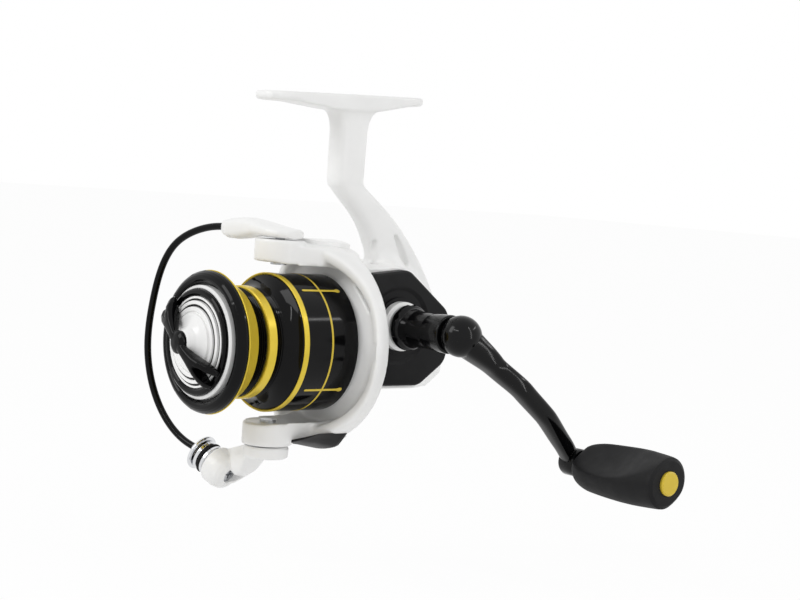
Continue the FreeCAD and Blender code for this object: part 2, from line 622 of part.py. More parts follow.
def rotor():
    """Cup, dished rear flange and two arms, cast in one piece."""
    inner = CUP_OUTER - CUP_WALL
    hub = PINION_NECK + 0.02
    cup = turned("Y", [(CUP_FRONT, hub), (CUP_FRONT, CUP_OUTER), (-18.6, CUP_OUTER), (-16.9, 22.0),
                       (-16.3, 25.5), (-16.9, 28.6), (-18.0, ROTOR_RIM - 0.8), (-16.6, ROTOR_RIM),
                       (ROTOR_REAR, ROTOR_RIM), (ROTOR_REAR, 26.0), (-14.0, inner + 2.0),
                       (-16.2, inner), (CUP_FRONT + CUP_WALL, inner), (CUP_FRONT + CUP_WALL, hub)])
    upper = rotor_arm()
    lower = rotor_arm()
    lower.rotate(SHAFT_LINE, MAIN_AXES["Y"], 180)
    solid = cup.fuse([upper, lower])
    holes = []
    for side in (1, -1):
        holes.append(rod("Z", 1.5, min(side * 20, side * 40), max(side * 20, side * 40), PIVOT_LINE))
    return solid.cut(holes)


def rotor_nut():
    flats = []
    for index in range(6):
        flats.append(polar(5.8, 60 * index))
    nut = prism("Y", flats, CUP_FRONT - 3.6, CUP_FRONT)
    return nut.cut(rod("Y", PINION_NECK, CUP_FRONT - 5, CUP_FRONT + 1))


def arm_cover(side):
    """The thin plate over a rotor arm's spring pocket."""
    plate = arm_blank(8.5, 6.5, -21.5, ROTOR_REAR - 1.2, ARM_OUTER + 0.02, ARM_OUTER + COVER_SKIN)
    if side < 0:
        plate.rotate(SHAFT_LINE, MAIN_AXES["Y"], 180)
    return plate


def bail_spring():
    """The coil spring in the upper arm that snaps the bail over."""
    helix = Part.makeHelix(1.2, POCKET_REAR - POCKET_FRONT - 1.0, 1.5)
    wire = Part.Wire(Part.makeCircle(0.3, point(1.5, 0, 0), MAIN_AXES["Y"]))
    coil = Part.Wire(helix).makePipeShell([wire], True, True)
    coil.rotate(SHAFT_LINE, MAIN_AXES["X"], 90)
    coil.translate(point(0, POCKET_REAR - 0.5, POCKET_MIDDLE))
    return coil


def spring_rod():
    return rod("Y", 0.9, POCKET_FRONT, POCKET_REAR, point(0, 0, POCKET_MIDDLE))


def pivot_pins():
    """The two pins that the bail turns on, one through each arm."""
    pins = []
    for side in (1, -1):
        reach = sorted((side * (ARM_INNER - 0.4), side * (PAD_TOP + GAP + CAM_HUB - 1.0)))
        pin = rod("Z", 1.5, reach[0], reach[1], PIVOT_LINE)
        head = sorted((side * (ARM_INNER - 1.5), side * (ARM_INNER - 0.6)))
        pins.append(pin.fuse(rod("Z", 2.6, head[0], head[1], PIVOT_LINE)))
    return pins


# ------------------------------------------------------------------ spool


def spool():
    """Drum, rear flange and the front well that holds the drag washers."""
    flange_rear = FLANGE_FRONT + FLANGE_THICK
    web_front = WEB_REAR - WEB_THICK
    outline = [(flange_rear, SKIRT_RADIUS - SKIRT_WALL), (FLANGE_FRONT + 1.0, SKIRT_RADIUS - SKIRT_WALL),
               (FLANGE_FRONT + 1.0, SKIRT_RADIUS), (FLANGE_FRONT + 0.3, SKIRT_RADIUS),
               (FLANGE_FRONT, SKIRT_RADIUS - 0.3), (FLANGE_FRONT - 0.4, 20.6),
               (FLANGE_FRONT - 1.4, 18.6), (FLANGE_FRONT - 3.2, 17.2),
               (FLANGE_FRONT - 5.6, DRUM_WAIST), (WEB_REAR, DRUM_WAIST), (WEB_REAR - 0.3, DRUM_RADIUS),
               (BAND_FRONT, DRUM_RADIUS), (BAND_FRONT - 0.3, DRUM_WAIST + 0.4),
               (LIP_EDGE + CHAMFER, DRUM_WAIST + 0.6), (LIP_EDGE + CHAMFER, DRUM_RADIUS + 0.8),
               (LIP_EDGE, LIP_RADIUS - 0.2), (LIP_EDGE, KNOB_WELL),
               (KNOB_SEAT, KNOB_WELL), (KNOB_SEAT, DRAG_WELL), (web_front, DRAG_WELL),
               (web_front, 3.4), (WEB_REAR, 3.4),
               (WEB_REAR, 14.6), (flange_rear, 14.6)]
    return turned("Y", outline)


def spool_skirt():
    """The thin skirt behind the flange, which keeps line out of the rotor."""
    inner = SKIRT_RADIUS - SKIRT_WALL
    return turned("Y", [(SKIRT_REAR, inner), (SKIRT_REAR, SKIRT_RADIUS - 0.3),
                        (SKIRT_REAR - 0.4, SKIRT_RADIUS), (FLANGE_FRONT + 1.0, SKIRT_RADIUS),
                        (FLANGE_FRONT + 1.0, inner)])


def spool_lip():
    """The rounded black ring that the line runs off."""
    inner = KNOB_WELL
    outline = [(LIP_EDGE, inner), (LIP_EDGE, LIP_RADIUS - 0.2), (LIP_EDGE - 0.2, LIP_RADIUS),
               (LIP_EDGE - 0.7, LIP_RADIUS), (LIP_EDGE - 1.3, LIP_RADIUS - 0.4),
               (LIP_EDGE - 1.8, LIP_RADIUS - 1.1), (LIP_FRONT, LIP_RADIUS - 2.0),
               (LIP_FRONT, LIP_RADIUS - 2.8), (LIP_FRONT + 0.4, LIP_RADIUS - 3.6),
               (LIP_FRONT + 1.0, inner)]
    return turned("Y", outline)


def line_clip():
    """The small sprung clip on the skirt that parks the end of the line."""
    clip = tube("Y", SKIRT_RADIUS + 0.9, SKIRT_RADIUS, -33.5, -30.0)
    window = block((0, 30), (-34, -29), (-3.0, 3.0))
    clip = clip.common(window)
    clip.rotate(SHAFT_LINE, MAIN_AXES["Y"], 150)
    return clip


def spool_bushes():
    return tube("Y", 3.4, SHAFT_RADIUS + RUN, WEB_REAR - WEB_THICK, WEB_REAR)


def drag_washers():
    """The stack of metal and felt washers in the spool's well."""
    start = WEB_REAR - WEB_THICK
    thickness = 0.95
    stack = []
    for index in range(5):
        rear = start - index * thickness
        outer = DRAG_WELL - (0.2 if index % 2 else 0.6)
        stack.append(tube("Y", outer, 3.4, rear - thickness + 0.05, rear))
    return stack


def drag_retainer():
    """The bent wire ring that keeps the washers in the well."""
    place = WEB_REAR - WEB_THICK - 5 * 0.95 - 0.5
    ring = Part.makeTorus(DRAG_WELL - 0.6, 0.5, point(0, place, 0), MAIN_AXES["Y"])
    return ring.cut(block((-2, 2), (place - 1, place + 1), (0, 20)))


# ------------------------------------------------------------------ drag knob


def drag_knob():
    """The pale disc on the front of the spool, which climbs to the centre in small steps."""
    outline = [(KNOB_EDGE, RING_OUTER), (KNOB_EDGE, KNOB_RADIUS - 0.4), (KNOB_EDGE + 0.4, KNOB_RADIUS),
               (KNOB_BACK, KNOB_RADIUS), (KNOB_BACK, 9.0), (KNOB_BACK + 2.0, 8.4),
               (KNOB_BACK + 2.0, 6.2), (KNOB_BACK - 3.6, 6.2), (KNOB_BACK - 3.6, SHAFT_RADIUS + RUN),
               (STEP_FRONT, SHAFT_RADIUS + RUN)]
    for index in range(4):
        place = STEP_FRONT + index * STEP_DEPTH
        radius = CONE_RADIUS + (index + 1) * (RING_INNER - CONE_RADIUS - 0.6) / 4
        outline += [(place, radius - 0.2), (place + 0.2, radius), (place + STEP_DEPTH, radius)]
    outline += [(KNOB_EDGE, RING_INNER), (RING_FLOOR, RING_INNER), (RING_FLOOR, RING_OUTER)]
    return turned("Y", outline)


def drag_knob_ring():
    """The black ring let into the face of the knob."""
    front = KNOB_EDGE - RING_PROUD
    return turned("Y", [(RING_FLOOR, RING_INNER), (front + 0.5, RING_INNER), (front, RING_INNER + 0.6),
                        (front, RING_OUTER - 0.6), (front + 0.5, RING_OUTER), (RING_FLOOR, RING_OUTER)])


def knob_bar_side():
    """The finger bar seen from its long side: a hub in the middle and two wings that slope back."""
    top = CONE_FRONT - BAR_TOP
    under = CONE_FRONT + 0.9
    foot = KNOB_EDGE - RING_PROUD
    half = [(BAR_HUB, top + 0.2), (7.0, top + 0.8), (10.5, top + 2.4), (BAR_REACH - 2.6, foot - 2.6),
            (BAR_REACH - 0.6, foot - 1.1), (BAR_REACH, foot - 0.3), (BAR_REACH - 0.4, foot),
            (RING_INNER - 0.4, foot), (11.0, foot - 1.0), (8.0, foot - 2.2), (5.4, under)]
    return half + [(-x, y) for x, y in reversed(half)]


def drag_knob_grip():
    """The bar that the fingers turn: it bridges the cone and forks at both ends."""
    plan = [(BAR_HUB, 1.7), (8.5, 2.9), (12.0, 4.3), (BAR_REACH - 2.2, BAR_WING), (BAR_REACH, BAR_WING - 1.2)]
    plan += [(x, -z) for x, z in reversed(plan)]
    plan += [(-x, -z) for x, z in plan]
    bar = prism("Y", plan, CONE_FRONT - BAR_TOP - 1, KNOB_EDGE)
    bar = bar.common(prism("Z", knob_bar_side(), -BAR_WING - 1, BAR_WING + 1))
    for side in (1, -1):
        mouth = [(side * 12.6, 0), (side * (BAR_REACH + 2), 2.9), (side * (BAR_REACH + 2), -2.9)]
        bar = bar.cut(prism("Y", mouth, CONE_FRONT - BAR_TOP - 1, KNOB_EDGE))
    bar = bar.fuse(rod("Y", BAR_HUB, CONE_FRONT - BAR_TOP, CONE_FRONT + 0.9))
    bar = bar.cut(drag_knob_cone(0.02))
    bar.rotate(SHAFT_LINE, MAIN_AXES["Y"], BAR_TURN)
    return bar


def drag_knob_cone(grow=0.0):
    """The pale hollow-sided cone in the middle of the knob; it covers the end of the shaft."""
    profile = [(STEP_FRONT, CONE_RADIUS), (STEP_FRONT - 0.8, 6.0), (STEP_FRONT - 1.9, 4.8),
               (STEP_FRONT - 3.2, 4.1), (CONE_FRONT, TIP_RADIUS)]
    outer = [(along - grow, radius + grow) for along, radius in profile]
    return turned("Y", [(STEP_FRONT, 0)] + outer + [(CONE_FRONT - grow, 0)])


def drag_nut():
    flats = [polar(5.4, 60 * index) for index in range(6)]
    nut = prism("Y", flats, KNOB_SEAT - 4.4, KNOB_SEAT - 2.6)
    return nut.cut(rod("Y", SHAFT_RADIUS + RUN, KNOB_SEAT - 6, KNOB_SEAT))


def drag_spring():
    """Four dished spring washers between the drag nut and the washers, facing each other in pairs."""
    front = KNOB_SEAT - 2.5
    stack = []
    for index in range(4):
        near = front + index * (DISC_RISE + DISC_THICK)
        far = near + DISC_RISE
        rims = (DISC_OUTER, DISC_INNER) if index % 2 else (DISC_INNER, DISC_OUTER)
        stack.append(turned("Y", [(near, rims[0]), (far, rims[1]), (far + DISC_THICK - 0.05, rims[1]),
                                  (near + DISC_THICK - 0.05, rims[0])]))
    return stack


# ------------------------------------------------------------------ bail


def to_bail(shape):
    """Turn a piece drawn outwards along +X from the pivot line into the closed bail's direction."""
    shape.rotate(SHAFT_LINE, MAIN_AXES["Z"], 270 - BAIL_ANGLE)
    shape.translate(PIVOT_LINE)
    return shape


def to_roller(shape):
    """Place a piece drawn along +X from the roller arm's head on the roller's climbing axis."""
    shape.rotate(SHAFT_LINE, MAIN_AXES["Y"], -ROLLER_PITCH)
    shape.translate(point(HEAD_REACH, 0, -HEAD_DROP))
    return to_bail(shape)


def bail_cam():
    """The upper bail arm: a pivot hub that tapers out to the wire's socket."""
    low = PAD_TOP + GAP
    hub = rod("Z", PIVOT_HUB, low, low + CAM_HUB)
    plan = prism("Z", [(0, -PIVOT_HUB + 0.4), (SOCKET_REACH - 4, -3.6), (SOCKET_REACH - 4, 3.6),
                       (0, PIVOT_HUB - 0.4)], low - 3, low + 8)
    side = prism("Y", [(0, low), (ARM_END + 1.2, low), (ARM_END + 4, low - 1.4),
                       (SOCKET_REACH - 4, low - 1.6), (SOCKET_REACH - 4, low + 5.2),
                       (SOCKET_REACH - 12, low + 5.8), (4, low + CAM_HUB), (0, low + CAM_HUB)], -10, 10)
    socket = turned("X", [(SOCKET_REACH - 8, 0), (SOCKET_REACH - 8, 3.4), (SOCKET_REACH - 4, 3.9),
                          (SOCKET_REACH - 1.2, 3.4), (SOCKET_REACH, 2.2), (SOCKET_REACH, 0)],
                    point(0, 0, low + 1.9))
    solid = hub.fuse([plan.common(side), socket]).cut(rod("Z", 1.5 + RUN, low - 1, low + CAM_HUB - 0.8))
    return to_bail(solid)


def wire_path():
    """The bow of the bail wire, as points (distance out from the pivot line, height)."""
    top = (SOCKET_REACH, PAD_TOP + GAP + 1.9)
    foot_out, foot_up = polar(ROLLER_LENGTH + 4.2 + WIRE_FOOT, ROLLER_PITCH)
    bottom = (HEAD_REACH + foot_out, -HEAD_DROP + foot_up)
    return [top, (35.0, 33.2), (44.2, 28.0), (52.7, 8.0), (53.6, -9.0), (46.6, -27.0), (39.4, -34.2), bottom]


def bail_wire():
    points = [point(out, 0, up) for out, up in wire_path()]
    spine = Part.Wire(curve_through(points))
    start = spine.Edges[0]
    direction = start.tangentAt(start.FirstParameter)
    circle = Part.Wire(Part.makeCircle(WIRE_RADIUS, points[0], direction))
    return to_bail(spine.makePipeShell([circle], True, True)).cut(wire_foot())


def roller_arm():
    """The lower bail arm: a pivot hub, a cranked web and the domed head of the line roller."""
    high = -(PAD_TOP + GAP)
    low = high - ROLLER_HUB
    hub = rod("Z", PIVOT_HUB, low, high)
    web = prism("Y", [(-2, high), (9, high), (HEAD_REACH + 1, -HEAD_DROP + 5.4),
                      (HEAD_REACH + 1, -HEAD_DROP - 4.5), (HEAD_REACH - 3, -HEAD_DROP - 5.0), (3, low),
                      (-2, low)], -6.0, -1.6)
    solid = to_bail(hub.fuse(web))
    head = turned("X", [(-5.0, 0), (-4.9, 3.6), (-4.3, 5.0), (-3.0, 5.9), (-1.0, 6.3), (3.2, 6.3), (3.2, 0)])
    solid = solid.fuse(to_roller(head))
    pin_hole = rod("Z", 1.5 + RUN, high - 4, high + 1, PIVOT_LINE)
    screw_hole = to_roller(rod("X", 1.5, -5, 8))
    screw_seat = to_roller(rod("X", 2.7, -9, -2.6))
    return solid.cut([pin_hole, screw_hole, screw_seat])


def roller_screw():
    """The long screw that carries the line roller."""
    screw = cross_screw("X", 2.6, 1.5, -2.6, -3.9, ROLLER_LENGTH + 7.2, SHAFT_LINE)
    return to_roller(screw)


def roller_bush():
    return to_roller(tube("X", 2.5, 1.5, 3.2, ROLLER_LENGTH + 4.2))


def line_roller():
    """The polished roller with a line groove."""
    start = 3.2 + GAP
    end = start + ROLLER_LENGTH
    middle = (start + end) / 2
    outline = [(start, 2.5 + RUN), (start, ROLLER_RADIUS - 0.5), (start + 0.4, ROLLER_RADIUS),
               (middle - 0.9, ROLLER_RADIUS - 0.3), (middle - 0.4, ROLLER_RADIUS - 1.0),
               (middle + 0.4, ROLLER_RADIUS - 1.0), (middle + 0.9, ROLLER_RADIUS - 0.3),
               (end - 0.4, ROLLER_RADIUS), (end, ROLLER_RADIUS - 0.5), (end, 2.5 + RUN)]
    return to_roller(turned("X", outline))


def wire_foot():
    """The tapered end of the bail wire that the roller runs against."""
    start = ROLLER_LENGTH + 4.2
    outline = [(start, 1.5), (start, WIRE_FLANGE - 0.3), (start + 0.3, WIRE_FLANGE),
               (start + 1.0, WIRE_FLANGE), (start + 1.5, WIRE_FLANGE - 1.0), (start + 2.0, 3.0),
               (start + WIRE_FOOT, 1.6), (start + WIRE_FOOT, 0), (start + 3.0, 0), (start + 3.0, 1.5)]
    return to_roller(turned("X", outline))


# ------------------------------------------------------------------ handle


def to_handle(shape):
    """Turn a piece drawn towards +Y from the crank axle into the handle's direction."""
    shape.rotate(SHAFT_LINE, MAIN_AXES["X"], HANDLE_ANGLE)
    shape.translate(CRANK_LINE)
    return shape


def to_grip(shape):
    """Place a piece drawn round the X axis on the knob's axle."""
    shape.translate(point(0, HANDLE_LENGTH, 0))
    return to_handle(shape)


def handle_shank():
    """The fluted flange and the round shank that screws into the crank axle."""
    start = COVER_TOP + 3.2 + GAP
    flange = turned("X", [(start, 0), (start, COLLAR_RADIUS - 0.6), (start + 2.6, COLLAR_RADIUS - 0.2),
                          (start + 3.6, SHANK_RADIUS), (KNUCKLE_X - KNUCKLE_STEP, SHANK_RADIUS - 0.3),
                          (KNUCKLE_X - KNUCKLE_STEP, STUB_RADIUS), (KNUCKLE_X, STUB_RADIUS),
                          (KNUCKLE_X, 0)], CRANK_LINE)
    flutes = round_ring("X", 6, COLLAR_RADIUS + 1.2,
                        lambda r: rod("X", 2.0, start - 1, start + 3.2, point(0, r, CRANK_RISE)), CRANK_LINE)
    socket = rod("X", 2.6, start - 1, COVER_TOP + 9, CRANK_LINE)
    mouth = rod("X", AXLE_RADIUS, start - 1, COVER_TOP + 3.4, CRANK_LINE)
    return flange.cut(flutes + [socket, mouth])


def arm_line():
    """The arm's middle line as points (distance along the arm, distance out along the axle)."""
    shares = [(0, 0), (0.20, 5.2), (0.40, 10.6), (0.61, 12.4), (0.83, 10.8), (1, 8.8)]
    return [(share * HANDLE_LENGTH, KNUCKLE_X + out) for share, out in shares]


def handle_arm():
    """The curved arm from the knuckle ball to the knob's boss."""
    ball = Part.makeSphere(KNUCKLE_RADIUS)
    ball.translate(point(KNUCKLE_X, 0, 0))
    inner = []
    outer = []
    for y, x in arm_line():
        half = (ARM_THICK - ARM_TAPER * y / HANDLE_LENGTH) / 2
        inner.append(point(x - half, y, 0))
        outer.append(point(x + half, y, 0))
    outline = Part.Wire([curve_through(inner), Part.makeLine(inner[-1], outer[-1]),
                         curve_through(outer[::-1]), Part.makeLine(outer[0], inner[0])])
    face = Part.Face(outline)
    face.translate(point(0, 0, -ARM_WIDTH / 2))
    bar = face.extrude(point(0, 0, ARM_WIDTH))
    boss_middle = arm_line()[-1][1]
    boss = rod("X", BOSS_RADIUS, boss_middle - BOSS_HALF, GRIP_START - 0.5, point(0, HANDLE_LENGTH, 0))
    arm = bar.fuse([ball, boss])
    arm = arm.cut(rod("X", GRIP_AXLE, boss_middle - 6, boss_middle + 8, point(0, HANDLE_LENGTH, 0)))
    arm = arm.cut(rod("X", STUB_RADIUS, KNUCKLE_X - 9, KNUCKLE_X))
    arm = arm.cut(rod("X", 2 * KNUCKLE_RADIUS, KNUCKLE_X - 9, KNUCKLE_X - KNUCKLE_STEP))
    return to_handle(arm)


def grip_axle():
    """The knob's axle, riveted into the arm's boss."""
    start = arm_line()[-1][1] - BOSS_HALF
    axle = rod("X", GRIP_AXLE, start, GRIP_END - 6)
    return to_grip(axle)


def oval(x, width, height):
    """An elliptic section across the knob at one place along it."""
    wide, narrow = max(width, height) / 2, min(width, height) / 2
    ellipse = Part.Ellipse(SHAFT_LINE, wide, narrow).toShape()
    ellipse.rotate(SHAFT_LINE, MAIN_AXES["Y"], 90)
    if width > height:
        ellipse.rotate(SHAFT_LINE, MAIN_AXES["X"], 90)
    ellipse.translate(point(x, 0, 0))
    return Part.Wire(ellipse)


def grip():
    """The paddle knob: an oval bar with a hollow thumb face above and below."""
    length = GRIP_END - GRIP_START
    stations = [(0.0, 15.5, 15.0), (0.33, GRIP_WIDTH, 19.0), (0.7, GRIP_WIDTH - 1.2, 18.6),
                (1.0, GRIP_WIDTH - 2.6, 17.0)]
    bar = Part.makeLoft([oval(GRIP_START + share * length, w, h) for share, w, h in stations], True, False)
    bar = bar.makeFillet(1.2, rim_edges(bar, "X", GRIP_START) + rim_edges(bar, "X", GRIP_END))
    thin = GRIP_THICK / 2
    thick = 8.2
    ends = [point(GRIP_START - 1, 0, thin - 0.4), point(GRIP_START + 0.34 * length, 0, thin),
            point(GRIP_START + 0.72 * length, 0, thin + 1.8), point(GRIP_END + 1, 0, thick + 1)]
    top = curve_through(ends)
    bottom = curve_through([point(p.x, 0, -p.z) for p in ends[::-1]])
    side = Part.Wire([top, Part.makeLine(ends[-1], point(ends[-1].x, 0, -ends[-1].z)), bottom,
                      Part.makeLine(point(ends[0].x, 0, -ends[0].z), ends[0])])
    face = Part.Face(side)
    face.translate(point(0, -GRIP_WIDTH, 0))
    solid = bar.common(face.extrude(point(0, 2 * GRIP_WIDTH, 0)))
    solid.rotate(SHAFT_LINE, MAIN_AXES["X"], 35 - HANDLE_ANGLE)
    bore = rod("X", 3.4, GRIP_START - 1, GRIP_END - 5)
    cap_seat = rod("X", 3.9, GRIP_END - 1.6, GRIP_END + 1)
    return to_grip(solid.cut([bore, cap_seat]))


def grip_bushes():
    """Two bushes that the knob turns on."""
    inner = GRIP_AXLE + RUN
    near = tube("X", 3.4, inner, GRIP_START, GRIP_START + 4)
    far = tube("X", 3.4, inner, GRIP_END - 12, GRIP_END - 7)
    return [to_grip(near), to_grip(far)]


def grip_cap():
    cap = turned("X", [(GRIP_END - 1.6, 0), (GRIP_END - 1.6, 3.86), (GRIP_END + 0.6, 3.86),
                       (GRIP_END + 1.0, 3.4), (GRIP_END + 1.0, 0)])
    return to_grip(cap)


def save(name, shapes):
    """Write one node: a solid or a group of separate solids, moved to the reel's own frame."""
    if not isinstance(shapes, list):
        shapes = [shapes]
    moved = []
    for shape in shapes:
        solid = shape.copy()
        solid.translate(point(0, FOOT_FORWARD, -SOLE_HEIGHT))
        moved.extend(solid.Solids)
    result = moved[0] if len(moved) == 1 else Part.makeCompound(moved)
    result.exportStep("parts/" + name + ".step")
    print(name, len(moved), "valid" if all(s.isValid() for s in moved) else "INVALID")


os.makedirs("parts", exist_ok=True)

save("body", body())
save("side_cover", side_cover())
save("side_cover_screws", side_cover_screws())
save("axle_collar", axle_collar())
save("axle_cap", axle_cap())
save("pinion_bearing", ball_bearing("Y", BEARING_OUTER, PINION_NECK + RUN, BEARING_FRONT, BEARING_REAR,
                                    SHAFT_LINE))
save("left_axle_bearing", ball_bearing("X", AXLE_SEAT, AXLE_RADIUS + RUN, -HOUSING_HALF + 0.6,
                                       -HOUSING_HALF + 4.2, CRANK_LINE))
save("right_axle_bearing", ball_bearing("X", AXLE_SEAT, AXLE_RADIUS + RUN, COVER_FACE - 2.4,
                                        COVER_FACE + 1.2, CRANK_LINE))
save("roller_clutch", roller_clutch())
save("clutch_retainer", clutch_retainer())
save("guide_rod", guide_rod())
save("cross_gear_post", cross_gear_post())
save("drive_axle", drive_axle())
save("drive_gear", drive_gear())
save("crank_cross_gear", crank_cross_gear())
save("oscillation_gear", oscillation_gear())
save("pinion", pinion())
save("main_shaft", main_shaft())
save("slider", slider())
save("slider_screw", slider_screw())
save("spool_seat", spool_seat())
save("rotor", rotor())
save("rotor_nut", rotor_nut())
save("upper_arm_cover", arm_cover(1))
save("lower_arm_cover", arm_cover(-1))
save("bail_spring", bail_spring())
save("spring_rod", spring_rod())
save("pivot_pins", pivot_pins())
save("spool", spool())
save("spool_skirt", spool_skirt())
save("spool_lip", spool_lip())
save("line_clip", line_clip())
save("spool_bush", spool_bushes())
save("drag_washers", drag_washers())
save("drag_retainer", drag_retainer())
save("drag_knob", drag_knob())
save("drag_knob_ring", drag_knob_ring())
save("drag_knob_grip", drag_knob_grip())
save("drag_knob_cone", drag_knob_cone())
save("drag_nut", drag_nut())
save("drag_spring", drag_spring())
save("bail_cam", bail_cam())
save("bail_wire", bail_wire())
save("roller_arm", roller_arm())
save("roller_screw", roller_screw())
save("roller_bush", roller_bush())
save("line_roller", line_roller())
save("wire_foot", wire_foot())
save("handle_shank", handle_shank())
save("handle_arm", handle_arm())
save("grip_axle", grip_axle())
save("grip", grip())
save("grip_bushes", grip_bushes())
save("grip_cap", grip_cap())
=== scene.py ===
# %% [markdown]
# # A spinning reel
#
# A spinning reel hangs under a fishing rod.  A fixed spool holds the line, a rotor turns round it and
# lays the line on, and a crank on the side drives everything.  The mechanism comes as a imported frame
# in metres, its origin in the middle of the foot's sole.  This notebook gives each visible piece its
# real surface.  The first cell loads the frame and keeps its box.

# %% Load the frame
import bmesh
import bpy
import json
import math
from mathutils import Matrix, Vector


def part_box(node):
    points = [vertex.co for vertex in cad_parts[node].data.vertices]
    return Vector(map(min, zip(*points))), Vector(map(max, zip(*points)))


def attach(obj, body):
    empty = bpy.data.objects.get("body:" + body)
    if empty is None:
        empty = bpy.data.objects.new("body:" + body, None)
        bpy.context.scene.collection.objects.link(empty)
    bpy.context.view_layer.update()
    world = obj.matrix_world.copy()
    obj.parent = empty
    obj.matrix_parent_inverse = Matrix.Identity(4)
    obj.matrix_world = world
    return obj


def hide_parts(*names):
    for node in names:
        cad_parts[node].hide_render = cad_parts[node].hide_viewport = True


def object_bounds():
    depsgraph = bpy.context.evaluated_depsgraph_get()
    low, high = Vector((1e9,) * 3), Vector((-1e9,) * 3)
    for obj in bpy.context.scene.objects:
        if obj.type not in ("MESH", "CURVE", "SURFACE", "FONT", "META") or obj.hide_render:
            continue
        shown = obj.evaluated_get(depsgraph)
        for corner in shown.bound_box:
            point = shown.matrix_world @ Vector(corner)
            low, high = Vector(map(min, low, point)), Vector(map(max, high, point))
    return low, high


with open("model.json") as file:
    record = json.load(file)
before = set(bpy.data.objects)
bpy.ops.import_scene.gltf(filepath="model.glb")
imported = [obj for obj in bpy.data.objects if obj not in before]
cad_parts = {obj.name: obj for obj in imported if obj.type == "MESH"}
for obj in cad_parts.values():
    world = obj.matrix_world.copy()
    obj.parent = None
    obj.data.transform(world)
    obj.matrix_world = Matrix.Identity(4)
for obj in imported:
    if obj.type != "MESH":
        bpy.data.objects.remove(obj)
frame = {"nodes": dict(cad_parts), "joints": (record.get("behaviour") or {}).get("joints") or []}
cad_low, cad_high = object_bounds()

# %% [markdown]
# ## Places
#
# Nothing is placed by eye.  The main shaft and the crank axle give the reel's own origin, and the
# joints give the lines that the bail, the line roller and the knob turn on.  A local drawing in
# millimetres round one of these lines becomes metres in the frame through one matrix.

# %% Matrices for the reel's own lines
joints = {joint["name"]: joint for joint in frame["joints"]}


def joint_place(name):
    return Vector(joints[name]["pos_m"])


def local_frame(origin, x_axis, up=(0, 0, 1)):
    """Millimetres along x_axis, and square to it, from an origin in metres."""
    x = Vector(x_axis).normalized()
    z = (Vector(up) - x * x.dot(Vector(up))).normalized()
    y = z.cross(x)
    turn = Matrix((x, y, z)).transposed().to_4x4()
    return Matrix.Translation(origin) @ turn @ Matrix.Scale(0.001, 4)


crank_place = joint_place("crank_turn")
shaft_height = joint_place("rotor_spin").z
REEL = local_frame(Vector((0, crank_place.y, shaft_height)), (1, 0, 0))
SHAFT = local_frame(Vector((0, crank_place.y, shaft_height)), (0, 1, 0))
CRANK = local_frame(crank_place, (1, 0, 0))
knob_place = joint_place("handle_knob_spin")
arm_way = knob_place - crank_place
arm_way.x = 0
HANDLE = local_frame(crank_place, (1, 0, 0), Vector((1, 0, 0)).cross(arm_way))
GRIP = local_frame(Vector((0, knob_place.y, knob_place.z)), (1, 0, 0))
ROLLER = local_frame(joint_place("line_roller_spin"), joints["line_roller_spin"]["axis"])
print("handle throw, mm:", round(arm_way.length * 1000, 1))

# %% [markdown]
# ## Drawing tools
#
# Three ways of making a shape cover the reel.  Turned pieces are an outline spun round a line, lofted
# pieces join a row of sections, and cast pieces are several overlapping solids melted into one skin,
# which leaves the soft inside corners of a casting.

# %% Plain meshes from points
def link(name, mesh):
    piece = bpy.data.objects.new(name, mesh)
    bpy.context.scene.collection.objects.link(piece)
    return piece


def clean(mesh, angle=32):
    """Merge doubles, point every face outwards and keep only real edges sharp."""
    work = bmesh.new()
    work.from_mesh(mesh)
    bmesh.ops.remove_doubles(work, verts=work.verts, dist=1e-6)
    bmesh.ops.dissolve_degenerate(work, edges=work.edges, dist=1e-7)
    bmesh.ops.recalc_face_normals(work, faces=work.faces)
    work.to_mesh(mesh)
    work.free()
    mesh.shade_smooth()
    mesh.set_sharp_from_angle(angle=math.radians(angle))


def solid(name, points, faces, place=REEL):
    mesh = bpy.data.meshes.new(name)
    mesh.from_pydata([place @ Vector(p) for p in points], [], faces)
    clean(mesh)
    return link(name, mesh)


# %% Turned pieces
def softened(outline, radius, steps=4):
    """The same closed outline with each corner rounded, and a guard point beside each arc."""
    result = []
    count = len(outline)
    for index in range(count):
        before, corner, after = (Vector(outline[(index + k) % count]) for k in (-1, 0, 1))
        a, b = before - corner, after - corner
        if min(a.length, b.length) < 1e-6 or corner.y < 1e-6:
            result.append(corner)
            continue
        turn = math.pi - a.angle(b)
        if turn < math.radians(14):
            result.append(corner)
            continue
        reach = min(radius * math.tan(turn / 2), 0.42 * a.length, 0.42 * b.length)
        start, end = corner + a.normalized() * reach, corner + b.normalized() * reach
        result.append(corner + a.normalized() * reach * 1.12)
        for step in range(steps + 1):
            t = step / steps
            result.append(start * (1 - t) ** 2 + corner * 2 * t * (1 - t) + end * t * t)
        result.append(corner + b.normalized() * reach * 1.12)
    return [(p.x, max(p.y, 0)) for p in result]


def turned(name, outline, place=SHAFT, radius=0.25, sides=144):
    """Spin an outline of (distance along the line, radius), in millimetres."""
    outline = softened(outline, radius)
    points = []
    for along, out in outline:
        for side in range(sides):
            angle = 2 * math.pi * side / sides
            points.append((along, out * math.cos(angle), out * math.sin(angle)))
    faces = []
    for row in range(len(outline)):
        following = (row + 1) % len(outline)
        for side in range(sides):
            beside = (side + 1) % sides
            faces.append((row * sides + side, row * sides + beside,
                          following * sides + beside, following * sides + side))
    return solid(name, points, faces, place)


